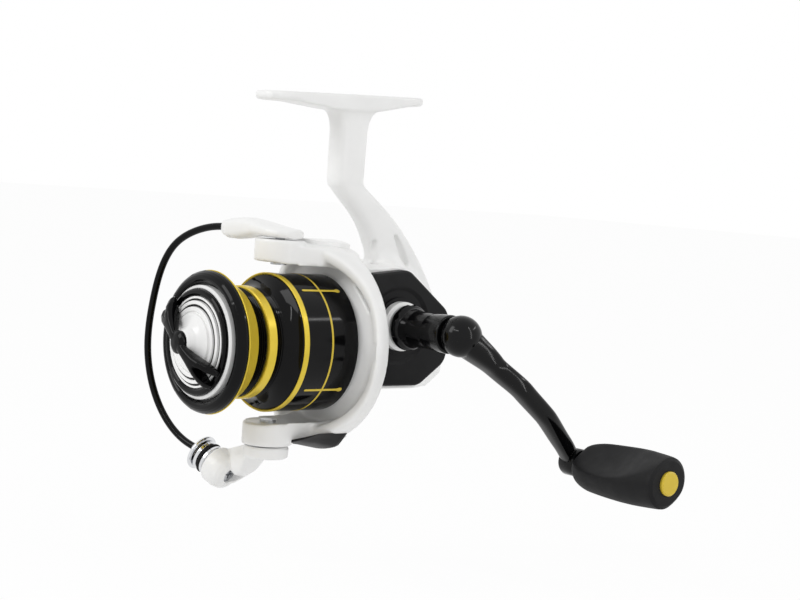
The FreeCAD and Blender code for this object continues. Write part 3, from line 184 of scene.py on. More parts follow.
# %% Lofted pieces
def section(centre, wide, high, power=2.0, count=48):
    """A closed rounded loop: half width along the first vector, half height along the second."""
    loop = []
    for step in range(count):
        angle = 2 * math.pi * step / count
        c, s = math.cos(angle), math.sin(angle)
        across = math.copysign(abs(c) ** (2 / power), c)
        up = math.copysign(abs(s) ** (2 / power), s)
        loop.append(Vector(centre) + Vector(wide) * across + Vector(high) * up)
    return loop


def lofted(name, loops, place=REEL):
    count = len(loops[0])
    points = [p for loop in loops for p in loop]
    faces = []
    for row in range(len(loops) - 1):
        for k in range(count):
            n = (k + 1) % count
            faces.append((row * count + k, row * count + n, (row + 1) * count + n, (row + 1) * count + k))
    for row in (0, len(loops) - 1):
        points.append(sum(loops[row], Vector()) / count)
        for k in range(count):
            faces.append((row * count + k, row * count + (k + 1) % count, len(points) - 1))
    return solid(name, points, faces, place)


def rod(name, steps, place, centre=(0, 0, 0), count=48, along="X"):
    """A round rod through (distance, radius) steps along X or Z: a boss, or a drill for a bore."""
    axes = {"X": ((1, 0, 0), (0, 1, 0), (0, 0, 1)), "Z": ((0, 0, 1), (1, 0, 0), (0, 1, 0))}
    way, wide, high = (Vector(axis) for axis in axes[along])
    loops = [section(Vector(centre) + way * distance, wide * radius, high * radius, 2.0, count)
             for distance, radius in steps]
    return lofted(name, loops, place)


# %% Cast pieces
def copy_of(node):
    mesh = frame["nodes"][node].data.copy()
    clean(mesh)
    return link("copy." + node, mesh)


def baked(piece, name):
    """The piece with its modifiers applied, as a plain mesh under a new name."""
    bpy.context.view_layer.update()
    graph = bpy.context.evaluated_depsgraph_get()
    mesh = bpy.data.meshes.new_from_object(piece.evaluated_get(graph), depsgraph=graph)
    mesh.transform(piece.matrix_world)
    mesh.name = name
    return link(name, mesh)


def discard(*objects):
    for thing in objects:
        bpy.data.objects.remove(thing, do_unlink=True)


def carve(piece, tool, deed="DIFFERENCE"):
    """Cut a tool out of a piece, or join it on with deed UNION."""
    bite = piece.modifiers.new("bite", "BOOLEAN")
    bite.operation = deed
    bite.solver = "EXACT"
    bite.object = tool


def melt(piece, voxel):
    """Rebuild a piece as one closed skin, in steps of that many millimetres."""
    skin = piece.modifiers.new("melt", "REMESH")
    skin.mode = "VOXEL"
    skin.voxel_size = voxel * 0.001


def cast(name, parts, voxel, rounds, cuts=()):
    """Melt overlapping solids into one skin, cut the hollows, and melt once more to round the edges."""
    work = bmesh.new()
    for part in parts:
        work.from_mesh(part.data)
    mesh = bpy.data.meshes.new(name)
    work.to_mesh(mesh)
    work.free()
    whole = link("melt." + name, mesh)
    melt(whole, voxel)
    for cut in cuts:
        carve(whole, cut)
    if cuts:
        melt(whole, voxel)
    flow = whole.modifiers.new("flow", "SMOOTH")
    flow.factor = 0.5
    flow.iterations = rounds
    result = baked(whole, name)
    result.data.shade_smooth()
    discard(whole, *parts, *cuts)
    return result


# %% [markdown]
# ## Finishes
#
# A finish starts from what the real surface is and how it was made.  Colours are written as a designer
# would pick them, in sRGB hex, and one function makes them linear.  Every pattern reads Object
# coordinates, which are metres, so its scale is one over the real size of one spot or ring.

# %% Colour, node and scale helpers
def linear(code):
    """A colour written in sRGB hex, as the linear values that shaders take."""
    channels = [int(code[i:i + 2], 16) / 255 for i in (1, 3, 5)]
    return [c / 12.92 if c <= 0.04045 else ((c + 0.055) / 1.055) ** 2.4 for c in channels] + [1.0]


def add(tree, kind, settings=None, links=None):
    """Add one node: settings are attributes or input values, links join inputs to other sockets."""
    node = tree.nodes.new(kind)
    for key, value in (settings or {}).items():
        if isinstance(key, str) and hasattr(node, key):
            setattr(node, key, value)
        else:
            node.inputs[key].default_value = value
    for key, socket in (links or {}).items():
        tree.links.new(socket, node.inputs[key])
    return node


def per_mm(size):
    """Texture scale for a spot of that many millimetres."""
    return 1000.0 / size


def fresh(name):
    """A new material with its Principled shader and the Object coordinates ready."""
    material = bpy.data.materials.new(name)
    material.use_nodes = True
    tree = material.node_tree
    tree.nodes.clear()
    shader = add(tree, "ShaderNodeBsdfPrincipled")
    add(tree, "ShaderNodeOutputMaterial", links={"Surface": shader.outputs["BSDF"]})
    place = add(tree, "ShaderNodeTexCoord").outputs["Object"]
    return material, tree, shader, place


def tinted(tree, place, spot, first, second, low=0.35, high=0.65):
    """A colour that drifts between two close tones over spots of that many millimetres."""
    noise = add(tree, "ShaderNodeTexNoise", {"Scale": per_mm(spot), "Detail": 3.0}, {"Vector": place})
    ramp = add(tree, "ShaderNodeMapRange", {"From Min": low, "From Max": high},
               {"Value": noise.outputs["Fac"]})
    mix = add(tree, "ShaderNodeMix", {"data_type": "RGBA"}, {"Factor": ramp.outputs["Result"]})
    mix.inputs[6].default_value = linear(first)
    mix.inputs[7].default_value = linear(second)
    return mix.outputs[2]


def uneven_gloss(tree, place, spot, low, high):
    """Roughness that wanders between two values."""
    noise = add(tree, "ShaderNodeTexNoise", {"Scale": per_mm(spot), "Detail": 4.0}, {"Vector": place})
    spread = add(tree, "ShaderNodeMapRange",
                 {"From Min": 0.3, "From Max": 0.7, "To Min": low, "To Max": high},
                 {"Value": noise.outputs["Fac"]})
    return spread.outputs["Result"]


def relief(tree, height, depth, strength=1.0):
    """Bump from a height, with the depth in millimetres."""
    bump = add(tree, "ShaderNodeBump", {"Strength": strength, "Distance": depth * 0.001}, {"Height": height})
    return bump.outputs["Normal"]


# %% [markdown]
# ### Lacquers
#
# The pale castings are die-cast alloy or moulded nylon under a gloss white enamel.  The bail wire and the
# spool's lip wear black gloss lacquer, and the handle's black paint is a little softer.  A sprayed coat
# dries with a faint orange peel about a millimetre across, and its gloss is never quite even, so both
# come from soft noise.

# %% Lacquer maker and the lacquers
def lacquer(name, first, second, gloss, peel, specular, coat):
    material, tree, shader, place = fresh(name)
    spots = add(tree, "ShaderNodeTexNoise", {"Scale": per_mm(1.3), "Detail": 1.0}, {"Vector": place})
    tree.links.new(tinted(tree, place, 14.0, first, second), shader.inputs["Base Color"])
    tree.links.new(uneven_gloss(tree, place, 6.0, *gloss), shader.inputs["Roughness"])
    tree.links.new(relief(tree, spots.outputs["Fac"], peel, 0.35), shader.inputs["Normal"])
    shader.inputs["Specular IOR Level"].default_value = specular
    shader.inputs["Coat Weight"].default_value = coat
    shader.inputs["Coat Roughness"].default_value = 0.06
    return material


# Gloss white enamel over an alloy casting: clean and bright, with soft wide reflections.
WHITE_ENAMEL = lacquer("white_gloss_enamel", "#F1F1F0", "#F6F6F5", (0.28, 0.36), 0.006, 0.45, 0.1)
# Piano-black lacquer over cast aluminium: nearly no colour of its own, only tight highlights.
BLACK_LACQUER = lacquer("black_gloss_lacquer", "#040405", "#070708", (0.05, 0.08), 0.003, 0.14, 0.0)
# Black paint over the die-cast handle: thicker than lacquer, so its highlights are a little softer.
HANDLE_BLACK = lacquer("black_painted_die_casting", "#040405", "#070708", (0.12, 0.15), 0.0004, 0.2, 0.0)
# Black anodised and clear-coated aluminium of the spool: as black and as sharp as the lacquer.
SPOOL_BLACK = lacquer("black_clear_coated_aluminium", "#040405", "#070708", (0.05, 0.08), 0.002, 0.14, 0.0)

# %% [markdown]
# ### Moulded plastics
#
# The side plate is moulded satin black: a fine spark-eroded grain breaks the reflection up into a broad
# grey sheen.  The skirt's spray is much smoother, and it still shows the lamps.  The paddle knob is a
# soft-touch rubber, duller still.  The hidden bushes and the slider are plain acetal.

# %% Moulded plastic maker and its finishes
def moulded(name, first, second, gloss, grain, depth, specular=0.5):
    material, tree, shader, place = fresh(name)
    pits = add(tree, "ShaderNodeTexNoise", {"Scale": per_mm(grain), "Detail": 2.0, "Roughness": 0.6},
               {"Vector": place})
    tree.links.new(tinted(tree, place, 9.0, first, second), shader.inputs["Base Color"])
    tree.links.new(uneven_gloss(tree, place, 4.0, *gloss), shader.inputs["Roughness"])
    tree.links.new(relief(tree, pits.outputs["Fac"], depth, 0.5), shader.inputs["Normal"])
    shader.inputs["Specular IOR Level"].default_value = specular
    return material


# Satin black ABS, finely grained: dark grey where it faces the light.
SATIN_BLACK = moulded("satin_black_abs", "#161617", "#1C1C1D", (0.4, 0.48), 0.45, 0.03, 0.14)
# Black spray on the spool's skirt: a faint grain under a near gloss.
SKIRT_BLACK = moulded("satin_black_skirt_spray", "#050506", "#09090A", (0.08, 0.12), 0.35, 0.003, 0.15)
# Soft-touch rubber over the knob's core: matt, dark grey, no highlight.
SOFT_RUBBER = moulded("soft_touch_rubber", "#161617", "#1B1B1C", (0.5, 0.6), 0.4, 0.04, 0.16)
# White gloss ABS of the drag knob: as bright as the enamel but sharper.
WHITE_ABS = moulded("white_gloss_abs", "#F3F3F2", "#F8F8F7", (0.16, 0.22), 0.8, 0.006)
# Natural acetal: cream white, waxy, used for bushes and the slider.
ACETAL = moulded("natural_acetal", "#DAD6C9", "#E4E0D4", (0.38, 0.46), 0.6, 0.02)

# %% [markdown]
# ### Yellow trim
#
# The yellow edges and the drum's band are bright anodised rings, turned on a lathe, so their gloss runs
# round in fine circles.  The line and strips on the skirt and the paddle's cap are opaque yellow paint.

# %% Ring pattern round the shaft, yellow anodising and yellow paint
def turning_marks(tree, place, pitch, axis="Y"):
    """Fine rings along an axis, as a cutting tool leaves them, drawn coarser than real so they show."""
    wave = add(tree, "ShaderNodeTexWave", {"bands_direction": axis, "Distortion": 0.6, "Detail": 1.0,
               "Scale": per_mm(pitch) / 6.0}, {"Vector": place})
    return wave.outputs["Fac"]


def turned_metal(name, first, second, gloss, pitch, depth, axis="Y", metallic=1.0):
    material, tree, shader, place = fresh(name)
    marks = turning_marks(tree, place, pitch, axis)
    tree.links.new(tinted(tree, place, 5.0, first, second), shader.inputs["Base Color"])
    tree.links.new(uneven_gloss(tree, place, 3.0, *gloss), shader.inputs["Roughness"])
    tree.links.new(relief(tree, marks, depth, 0.3), shader.inputs["Normal"])
    shader.inputs["Metallic"].default_value = metallic
    return material


# Yellow anodised aluminium: the dyed layer hides most of the metal, so it is only part metallic.
YELLOW_ANODISED = turned_metal("yellow_anodised_aluminium", "#DCC037", "#E2C63C", (0.28, 0.34), 0.5,
                               0.0002, metallic=0.4)
# Yellow enamel paint: flat colour with a light gloss.
YELLOW_PAINT = lacquer("yellow_enamel_paint", "#D2B62F", "#D8BD38", (0.3, 0.38), 0.004, 0.45, 0.0)

# %% [markdown]
# ### Metals inside and out
#
# Screws, shafts and bearings are steel, the line roller is hard chrome, the pinion is brass and the
# gears are zinc die castings.  A metal keeps its default index of refraction, and its colour tints the
# reflection.

# %% Steel, chrome, brass and zinc
# Machined steel: grey, a little rough.
STEEL = turned_metal("machined_steel", "#A9ABAE", "#B4B6B9", (0.24, 0.34), 0.4, 0.004)
# Hard chrome on the line roller: mirror bright, so the line doesn't wear a groove.
CHROME = turned_metal("polished_hard_chrome", "#D6D7D9", "#DEDFE1", (0.05, 0.09), 0.6, 0.001, "X")
# Machined brass of the pinion, the rotor nut and the drag nut.
BRASS = turned_metal("machined_brass", "#C7A04C", "#D0AA58", (0.24, 0.32), 0.4, 0.004)
# Zinc die casting: duller, with the flow marks of the die.
ZINC = turned_metal("zinc_die_casting", "#8E9092", "#9A9C9E", (0.38, 0.48), 1.2, 0.008)


# %% [markdown]
# ### Felt
#
# The drag washers are pressed felt between steel: hairy, with no gloss at all, so it needs sheen and a
# coarse random relief.

# %% Felt
def felt(name):
    material, tree, shader, place = fresh(name)
    hair = add(tree, "ShaderNodeTexNoise", {"Scale": per_mm(0.25), "Detail": 5.0, "Distortion": 1.5},
               {"Vector": place})
    tree.links.new(tinted(tree, place, 2.0, "#8A8272", "#9B9382"), shader.inputs["Base Color"])
    tree.links.new(relief(tree, hair.outputs["Fac"], 0.08, 0.8), shader.inputs["Normal"])
    shader.inputs["Roughness"].default_value = 0.95
    shader.inputs["Sheen Weight"].default_value = 0.4
    return material


WOOL_FELT = felt("pressed_wool_felt")
print("finishes:", len(bpy.data.materials))

# %% [markdown]
# ## Dressing the frame
#
# Every node of the frame gets its finish, also the ones deep inside, because the reel can be opened up
# in an exploded view.  The list reads finish by finish, as a parts list would.  The drag washers are
# felt, and whatever isn't listed is steel.

# %% Paint the carried-over nodes
def paint(piece, material):
    if not piece.material_slots:
        piece.data.materials.append(material)
    for slot in piece.material_slots:
        slot.material = material


finishes = {
    WHITE_ENAMEL: "body rotor upper_arm_cover bail_cam roller_arm",
    WHITE_ABS: "axle_collar drag_knob drag_knob_cone",
    BLACK_LACQUER: "bail_wire spool_lip drag_knob_ring drag_knob_grip",
    HANDLE_BLACK: "handle_shank handle_arm",
    SPOOL_BLACK: "spool line_clip",
    SATIN_BLACK: "side_cover lower_arm_cover axle_cap clutch_retainer",
    SKIRT_BLACK: "spool_skirt",
    SOFT_RUBBER: "grip",
    YELLOW_PAINT: "grip_cap",
    CHROME: "line_roller wire_foot",
    BRASS: "pinion drag_nut rotor_nut",
    ZINC: "drive_gear crank_cross_gear oscillation_gear",
    ACETAL: "slider roller_bush grip_bushes spool_bush spool_seat",
    WOOL_FELT: "drag_washers",
}
listed = " ".join(finishes.values()).split()
finishes[STEEL] = " ".join(name for name in frame["nodes"] if name not in listed)
for material, names in finishes.items():
    for name in names.split():
        paint(frame["nodes"][name], material)
print("steel nodes:", len(finishes[STEEL].split()))

# %% [markdown]
# ## The spool
#
# The spool's body is turned, so its outline is the whole design.  Yellow rings mark its two edges
# and the middle of the drum, and each ring is a piece of its own, because it is anodised in another
# colour.  Sizes are in millimetres along the main shaft, counted from the crank axle and negative
# towards the front.

# %% Last step of every piece
def finished(piece, body, material, slot, *nodes):
    """Give a piece its body and finish, and let it stand for the nodes it replaces.  The slot is not used.
    """
    paint(piece, material)
    if nodes:
        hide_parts(*nodes)
    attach(piece, body)
    print(piece.name, "on", body + ",", len(piece.data.polygons), "faces")
    return piece


# %% Places along the shaft
def shaft_mm(node):
    """Start and end of a node along the main shaft, and its radius, in millimetres."""
    low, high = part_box(node)
    return (low.y - crank_place.y) * 1000, (high.y - crank_place.y) * 1000, (high.x - low.x) * 500


lip_rear, lip_radius = shaft_mm("spool_lip")[1:]
skirt_front, skirt_rear, skirt_radius = shaft_mm("spool_skirt")
drum_rear = shaft_mm("spool")[1]
knob_rear, knob_radius = shaft_mm("drag_knob")[1:]
flange = skirt_front - 1.0
edge = -62.4
band_rear, band_front = -47.1, -50.4
chamfer_rear = -54.9
print("spool radius, mm:", round(lip_radius, 2))

# %% [markdown]
# ### Drum
#
# The drum could be a few cylinders on top of each other, but then its long fillet up to the flange would
# be missing, and that fillet is what catches the light.  One outline from the skirt's inside over the
# flange, along the drum and back through the bore gives all of it.

# %% Drum and flange
drum_wall = 16.7
band_seat = 15.6
front_wall = 17.6
hollow_front, hollow_rear = 15.3, 14.7
web_front, web_rear = -51.0, -47.0
shaft_bore = 3.5
flange_seat = 20.4
skirt_seat = skirt_radius - 1.3
lip_seat = knob_radius + 1.05
finished(turned("spool_drum", [
    (drum_rear, skirt_seat), (flange + 1.9, skirt_seat), (flange + 1.9, flange_seat),
    (flange + 0.4, flange_seat), (flange + 0.3, 21.7), (flange - 0.1, 21.3), (flange - 0.6, 20.2),
    (flange - 1.3, 19.1), (flange - 2.3, 18.1), (flange - 3.6, 17.3), (flange - 5.0, 16.8),
    (band_rear, drum_wall), (band_rear, band_seat), (band_front, band_seat), (band_front, drum_wall),
    (chamfer_rear + 0.5, drum_wall), (chamfer_rear - 0.2, front_wall), (edge + 0.6, front_wall),
    (edge + 0.6, lip_seat), (lip_rear, lip_seat), (lip_rear, hollow_front), (web_front, hollow_front),
    (web_front, shaft_bore), (web_rear, shaft_bore), (web_rear, hollow_rear), (drum_rear, hollow_rear)],
    radius=0.2), "spool", SPOOL_BLACK, "black_aluminium", "spool")

# %% [markdown]
# ### Rings, lip and skirt
#
# Bands of colour on one piece would have no edge of their own.  So the three yellow rings are pieces that
# stand a little proud of the drum, and each edge throws its own shadow.  The lip is a fat black bead in
# front of the last ring, and the skirt is a plain shell.  All are turned, and their corners are rounded
# by one to three tenths of a millimetre, which is enough for a highlight.

# %% Yellow rings
ring_top = skirt_radius + 0.1
finished(turned("flange_ring", [
    (flange + 1.8, flange_seat), (flange + 1.8, ring_top), (flange + 0.15, ring_top),
    (flange - 0.1, skirt_radius - 0.15), (flange + 0.3, 21.6), (flange + 0.45, flange_seat)],
    radius=0.12), "spool", YELLOW_ANODISED, "yellow_trim")

band_top = 17.95
band_shoulder = 17.5
band_bevel = 0.25
finished(turned("drum_band", [
    (band_rear, band_seat), (band_rear, band_shoulder), (band_rear - band_bevel, band_top),
    (band_front + band_bevel, band_top), (band_front, band_shoulder), (band_front, band_seat)],
    radius=0.15), "spool", YELLOW_ANODISED, "yellow_trim")

finished(turned("edge_ring", [
    (chamfer_rear - 0.1, front_wall), (chamfer_rear, 18.5), (chamfer_rear - 0.7, 18.9), (-58.8, 20.8),
    (edge + 2.0, 22.2), (edge + 1.4, 22.6), (edge + 1.2, 22.4), (edge + 1.5, 21.4), (edge + 1.8, 17.7)],
    radius=0.12), "spool", YELLOW_ANODISED, "yellow_trim")

# %% Black lip
finished(turned("black_lip", [
    (edge + 1.5, 18.9), (edge + 1.5, 21.4), (edge + 1.3, 22.1), (edge + 0.9, 22.35), (edge + 0.3, 22.4),
    (edge - 0.5, 22.1), (edge - 1.3, 21.5), (edge - 1.8, 20.8), (edge - 2.0, 20.1), (edge - 1.9, 19.5),
    (edge - 1.6, 19.0), (edge - 1.0, 18.6), (edge - 0.2, 18.5), (edge + 0.5, 18.6)],
    radius=0.3), "spool", BLACK_LACQUER, "black_metal", "spool_lip")

# %% Skirt
skirt_inside = skirt_radius - 1.2
skirt_start = skirt_front + 0.8
skirt_bevel = 0.35
finished(turned("skirt_shell", [
    (skirt_rear, skirt_inside), (skirt_rear, skirt_radius - skirt_bevel),
    (skirt_rear - skirt_bevel, skirt_radius), (skirt_start, skirt_radius), (skirt_start, skirt_inside)],
    radius=0.15), "spool", SKIRT_BLACK, "black_aluminium", "spool_skirt")

# %% [markdown]
# ### What repeats round and along the shaft
#
# The ridges on the drum are one ring repeated along the shaft, and the skirt's strips are one strip
# repeated round it.  Both are rules, so Geometry Nodes make them: one tree lays copies on a line, the
# other turns copies round an axis.  One takes its count and pitch as named inputs, the other its count,
# centre and axis.

# %% Geometry Nodes: a row along Y and a round about an axis
def new_tree(name, sizes):
    tree = bpy.data.node_groups.new(name, "GeometryNodeTree")
    tree.interface.new_socket("Geometry", in_out="INPUT", socket_type="NodeSocketGeometry")
    tree.interface.new_socket("Geometry", in_out="OUTPUT", socket_type="NodeSocketGeometry")
    for label, kind in sizes.items():
        tree.interface.new_socket(label, in_out="INPUT", socket_type="NodeSocket" + kind)
    return tree, add(tree, "NodeGroupInput"), add(tree, "NodeGroupOutput")


def close_tree(tree, given, out, geometry):
    """Every tree ends the same way: real geometry, then its material."""
    real = add(tree, "GeometryNodeRealizeInstances", links={"Geometry": geometry})
    coat = add(tree, "GeometryNodeSetMaterial",
               links={"Geometry": real.outputs["Geometry"], "Material": given.outputs["Material"]})
    tree.links.new(coat.outputs["Geometry"], out.inputs["Geometry"])


def row_tree():
    tree, given, out = new_tree("row_along_shaft", {"Count": "Int", "Pitch": "Float",
                                "Material": "Material"})
    step = add(tree, "ShaderNodeCombineXYZ", links={"Y": given.outputs["Pitch"]})
    line = add(tree, "GeometryNodeMeshLine", links={"Count": given.outputs["Count"],
               "Offset": step.outputs["Vector"]})
    copies = add(tree, "GeometryNodeInstanceOnPoints",
                 links={"Points": line.outputs["Mesh"], "Instance": given.outputs["Geometry"]})
    close_tree(tree, given, out, copies.outputs["Instances"])
    return tree


def round_tree():
    tree, given, out = new_tree("round_about_axis", {"Count": "Int", "Centre": "Vector", "Axis": "Vector",
                                "Material": "Material"})
    points = add(tree, "GeometryNodeMeshLine", links={"Count": given.outputs["Count"]})
    copies = add(tree, "GeometryNodeInstanceOnPoints",
                 links={"Points": points.outputs["Mesh"], "Instance": given.outputs["Geometry"]})
    home = add(tree, "GeometryNodeInputPosition")
    back = add(tree, "ShaderNodeVectorMath", {"operation": "SCALE", "Scale": -1.0}, {0: home.outputs[0]})
    stacked = add(tree, "GeometryNodeTranslateInstances", {"Local Space": False},
                  {"Instances": copies.outputs["Instances"], "Translation": back.outputs["Vector"]})
    share = add(tree, "ShaderNodeMath", {"operation": "DIVIDE", 0: 2 * math.pi}, {1: given.outputs["Count"]})
    number = add(tree, "GeometryNodeInputIndex")
    angle = add(tree, "ShaderNodeMath", {"operation": "MULTIPLY"},
                {0: number.outputs[0], 1: share.outputs[0]})
    turn = add(tree, "FunctionNodeAxisAngleToRotation",
               links={"Axis": given.outputs["Axis"], "Angle": angle.outputs[0]})
    turned_copies = add(tree, "GeometryNodeRotateInstances", {"Local Space": False},
                        {"Instances": stacked.outputs["Instances"], "Rotation": turn.outputs["Rotation"],
                         "Pivot Point": given.outputs["Centre"]})
    close_tree(tree, given, out, turned_copies.outputs["Instances"])
    return tree


def grown(name, seed, tree, values):
    """Run a tree on a seed piece and keep the result as a plain mesh."""
    sockets = {s.name: s.identifier for s in tree.interface.items_tree if s.in_out == "INPUT"}
    modifier = seed.modifiers.new("grow", "NODES")
    modifier.node_group = tree
    for label, value in values.items():
        modifier[sockets[label]] = value
    result = baked(seed, name)
    seed.modifiers.remove(modifier)
    discard(seed)
    clean(result.data)
    return result


ROW, ROUND = row_tree(), round_tree()
print("trees:", ROW.name, "and", ROUND.name)

# %% Fine ridges of the drum
ridge_count = 5
ridge_pitch = 0.75
ridge_foot = 16.95


def ridges(name, start):
    """Fine rings side by side on the drum, from a place on the shaft towards the front."""
    half = ridge_pitch * 0.36
    buried, low, top = ridge_foot - 0.5, ridge_foot + 0.05, ridge_foot + 0.42
    seed = turned(name + ".seed", [(start - half, buried), (start - half, low), (start, top),
                  (start + half, low), (start + half, buried)], radius=0.05, sides=96)
    piece = grown(name, seed, ROW, {"Count": ridge_count, "Pitch": -ridge_pitch * 0.001,
                  "Material": SPOOL_BLACK})
    return finished(piece, "spool", SPOOL_BLACK, "black_aluminium")


ridges("drum_ridges_rear", -43.6)
ridges("drum_ridges_front", -51.0)

# %% Yellow line and strips of the skirt
line_rear, line_front = -28.6, -29.3
line_buried, line_top = skirt_radius - 0.3, skirt_radius + 0.06
finished(turned("skirt_line", [(line_rear, line_buried), (line_rear, line_top), (line_front, line_top),
         (line_front, line_buried)], radius=0.04), "spool", YELLOW_PAINT, "yellow_trim")

strip_count = 4
strip_turn = 36.5
strip_shape = ((-35.9, 0.08), (-35.75, 0.3), (-35.5, 0.42), (-34.0, 0.42), (-28.0, 0.42), (-23.2, 0.42),
               (-22.6, 0.62), (-22.1, 0.82), (-21.6, 0.82), (-21.15, 0.55), (-21.0, 0.1))


def skirt_strips():
    """One rounded strip along the skirt with an eye at its rear end, repeated four times round."""
    angle = math.radians(strip_turn)
    out = Vector((math.sin(angle), 0, math.cos(angle)))
    across = Vector((math.cos(angle), 0, -math.sin(angle)))
    loops = []
    for along, half in strip_shape:
        centre = out * (skirt_radius - 0.05) + Vector((0, along, 0))
        loops.append(section(centre, across * half, out * 0.22, 3.0, 20))
    seed = lofted("skirt_strip.seed", loops)
    piece = grown("skirt_strips", seed, ROUND, {"Count": strip_count, "Centre": REEL.translation,
                  "Axis": (0, 1, 0), "Material": YELLOW_PAINT})
    return finished(piece, "spool", YELLOW_PAINT, "yellow_trim")


skirt_strips()

# %% [markdown]
# ## The drag knob
#
# The knob presses the drag washers together.  It is a white disc that climbs in small steps to a hollow
# cone, with a black ring let into it, thin black rings of painted shade in the bottoms of two step
# grooves, and a black bar across it for the fingers.  The disc is turned.
# The bar bridges the cone and forks at both ends, so it is cast: lofted wings and a hub, melted
# together with the forks cut out.

# %% Stepped disc, black ring and painted groove shade
ring_out, ring_in = knob_radius - 1.1, knob_radius - 3.4
ring_floor, ring_shoulder, ring_face = -64.7, -65.9, -66.3
web_radius = 6.3
shaft_hole = 2.06
hole_end = -66.7
disc = [(knob_rear, 9.0), (knob_rear, 8.4), (knob_rear, web_radius), (-62.6, web_radius),
        (-62.6, shaft_hole), (hole_end, shaft_hole), (hole_end, 0.0),
        (-72.8, 0.0), (-72.7, 1.5), (-72.0, 2.3), (-71.9, 3.3), (-71.2, 3.75), (-69.9, 4.3),
        (-68.9, 5.1), (-68.2, 6.2), (-67.7, 7.6), (-67.5, 9.0),
        (-66.7, 9.1), (-66.7, 9.6), (-67.1, 9.7), (-67.05, 11.0), (-66.1, 11.1), (-66.1, 11.7),
        (-66.6, 11.8), (-66.5, 12.9), (-65.4, 13.0), (-65.4, 13.5), (-66.0, 13.6),
        (-65.9, ring_in - 0.15), (-65.1, ring_in), (-64.6, ring_in), (-64.6, ring_out),
        (-65.0, ring_out + 0.1), (-65.0, knob_radius - 0.5), (-64.4, knob_radius),
        (-59.0, knob_radius), (-59.0, 9.0)]
finished(turned("knob_disc", disc, radius=0.14), "drag_knob", WHITE_ABS, "white_plastic",
         "drag_knob", "drag_knob_cone")
finished(turned("knob_ring", [(ring_floor, ring_in), (ring_shoulder, ring_in + 0.1),
         (ring_face, ring_in + 0.7), (ring_face, ring_out - 0.7), (ring_shoulder, ring_out - 0.1),
         (ring_floor, ring_out)], radius=0.3), "drag_knob", BLACK_LACQUER, "black_metal", "drag_knob_ring")

groove_height, groove_width = 0.35, 0.55
# Two thin black rings lie in the bottoms of the steps' grooves: painted shade that darkens the grooves.
for rear, inner in ((-66.1, 11.1), (-65.4, 13.0)):
    front, outer = rear - groove_height, inner + groove_width
    finished(turned("knob_groove_shade_ring", [(rear, inner), (front, inner), (front, outer), (rear, outer)],
                    radius=0.08), "drag_knob", BLACK_LACQUER, "black_metal")

# %% Finger bar
bar_lean = math.radians(38)
bar_way = Vector((math.cos(bar_lean), 0, -math.sin(bar_lean)))
bar_across = Vector((math.sin(bar_lean), 0, math.cos(bar_lean)))
to_front = Vector((0, -1, 0))


def bar_wing(side):
    """One half of the bar, wider towards its end, from (along, half width, top, underside) stations."""
    loops = []
    for along, half, top, deep in ((2.2, 1.5, 73.4, 71.2), (4.0, 1.5, 73.4, 70.4), (6.5, 1.8, 73.1, 69.0),
                                   (9.0, 2.3, 72.8, 67.8), (11.5, 3.1, 72.2, 67.0), (14.0, 3.8, 71.0, 66.6),
                                   (16.0, 4.0, 69.4, 66.4), (17.1, 3.4, 67.8, 66.2)):
        centre = bar_way * side * along + to_front * (top + deep) / 2
        loops.append(section(centre, bar_across * half, to_front * (top - deep) / 2, 3.4, 32))
    return lofted("bar.wing", loops)


def bar_mouth(outward):
    """The opening between the two prongs of a fork."""
    loops = []
    for along, half in ((10.8, 0.4), (13.2, 1.5), (20.0, 2.6)):
        loops.append(section(outward * along + to_front * 69, bar_across * half, to_front * 6, 3, 16))
    return lofted("bar.mouth", loops)


def bar_scoop(outward, edge_side):
    """A finger's hollow in one long edge of a wing."""
    loops = []
    for along, aside, ahead, wide, deep in ((5.5, 4.6, 72.6, 2.0, 1.4), (9.0, 5.0, 73.0, 2.5, 2.6),
                                            (12.5, 5.7, 72.4, 2.4, 2.2)):
        centre = outward * along + bar_across * edge_side * aside + to_front * ahead
        loops.append(section(centre, bar_across * wide, to_front * deep, 2, 20))
    return lofted("bar.scoop", loops)


def finger_bar():
    hub = turned("bar.hub", [(-72.3, 0.0), (-72.3, 2.4), (-71.0, 2.4), (-71.0, 3.7), (-72.6, 3.6),
                 (-73.3, 2.4), (-73.5, 0.0)], radius=0.3)
    parts = [hub, bar_wing(1), bar_wing(-1)]
    cuts = []
    for side in (1, -1):
        outward = bar_way * side
        cuts += [bar_mouth(outward), bar_scoop(outward, 1), bar_scoop(outward, -1)]
    bar = cast("finger_bar", parts, 0.2, 2, cuts)
    return finished(bar, "drag_knob", BLACK_LACQUER, "black_metal", "drag_knob_grip")


finger_bar()

# %% [markdown]
# ## The castings
#
# The body and the rotor are painted castings.  Modelled edge by edge, each inside corner would need its
# own fillet.  Instead each starts from the frame's own solid, fillet pieces are laid over the corners,
# and the whole is melted, cut and melted again.  That leaves the soft skin of a casting under enamel,
# and the seats and bores stay in their places.

# %% Helpers for castings
def thinned(piece, share):
    """Fewer faces where a skin is smooth."""
    fewer = piece.modifiers.new("fewer", "DECIMATE")
    fewer.ratio = share
    result = baked(piece, piece.name + ".thin")
    discard(piece)
    result.data.shade_smooth()
    return result


def groove(name, route, widths, deep, side):
    """A cutter that follows (along the shaft, up) places on one flat side of the stem."""
    loops = []
    for index, (y, z) in enumerate(route):
        before, after = route[max(index - 1, 0)], route[min(index + 1, len(route) - 1)]
        way = Vector((0, after[0] - before[0], after[1] - before[1])).normalized()
        across = Vector((0, -way.z, way.y))
        half = widths[index] / 2
        loops.append(section((side, y, z), across * half, (deep, 0, 0), 2.6, 20))
    return lofted(name, loops)


# %% Foot, stem root and shoulders of the body
sole = -shaft_height * 1000
root_place = -11.4
foot_middle = -15.2
foot_tilt = math.radians(2.5)


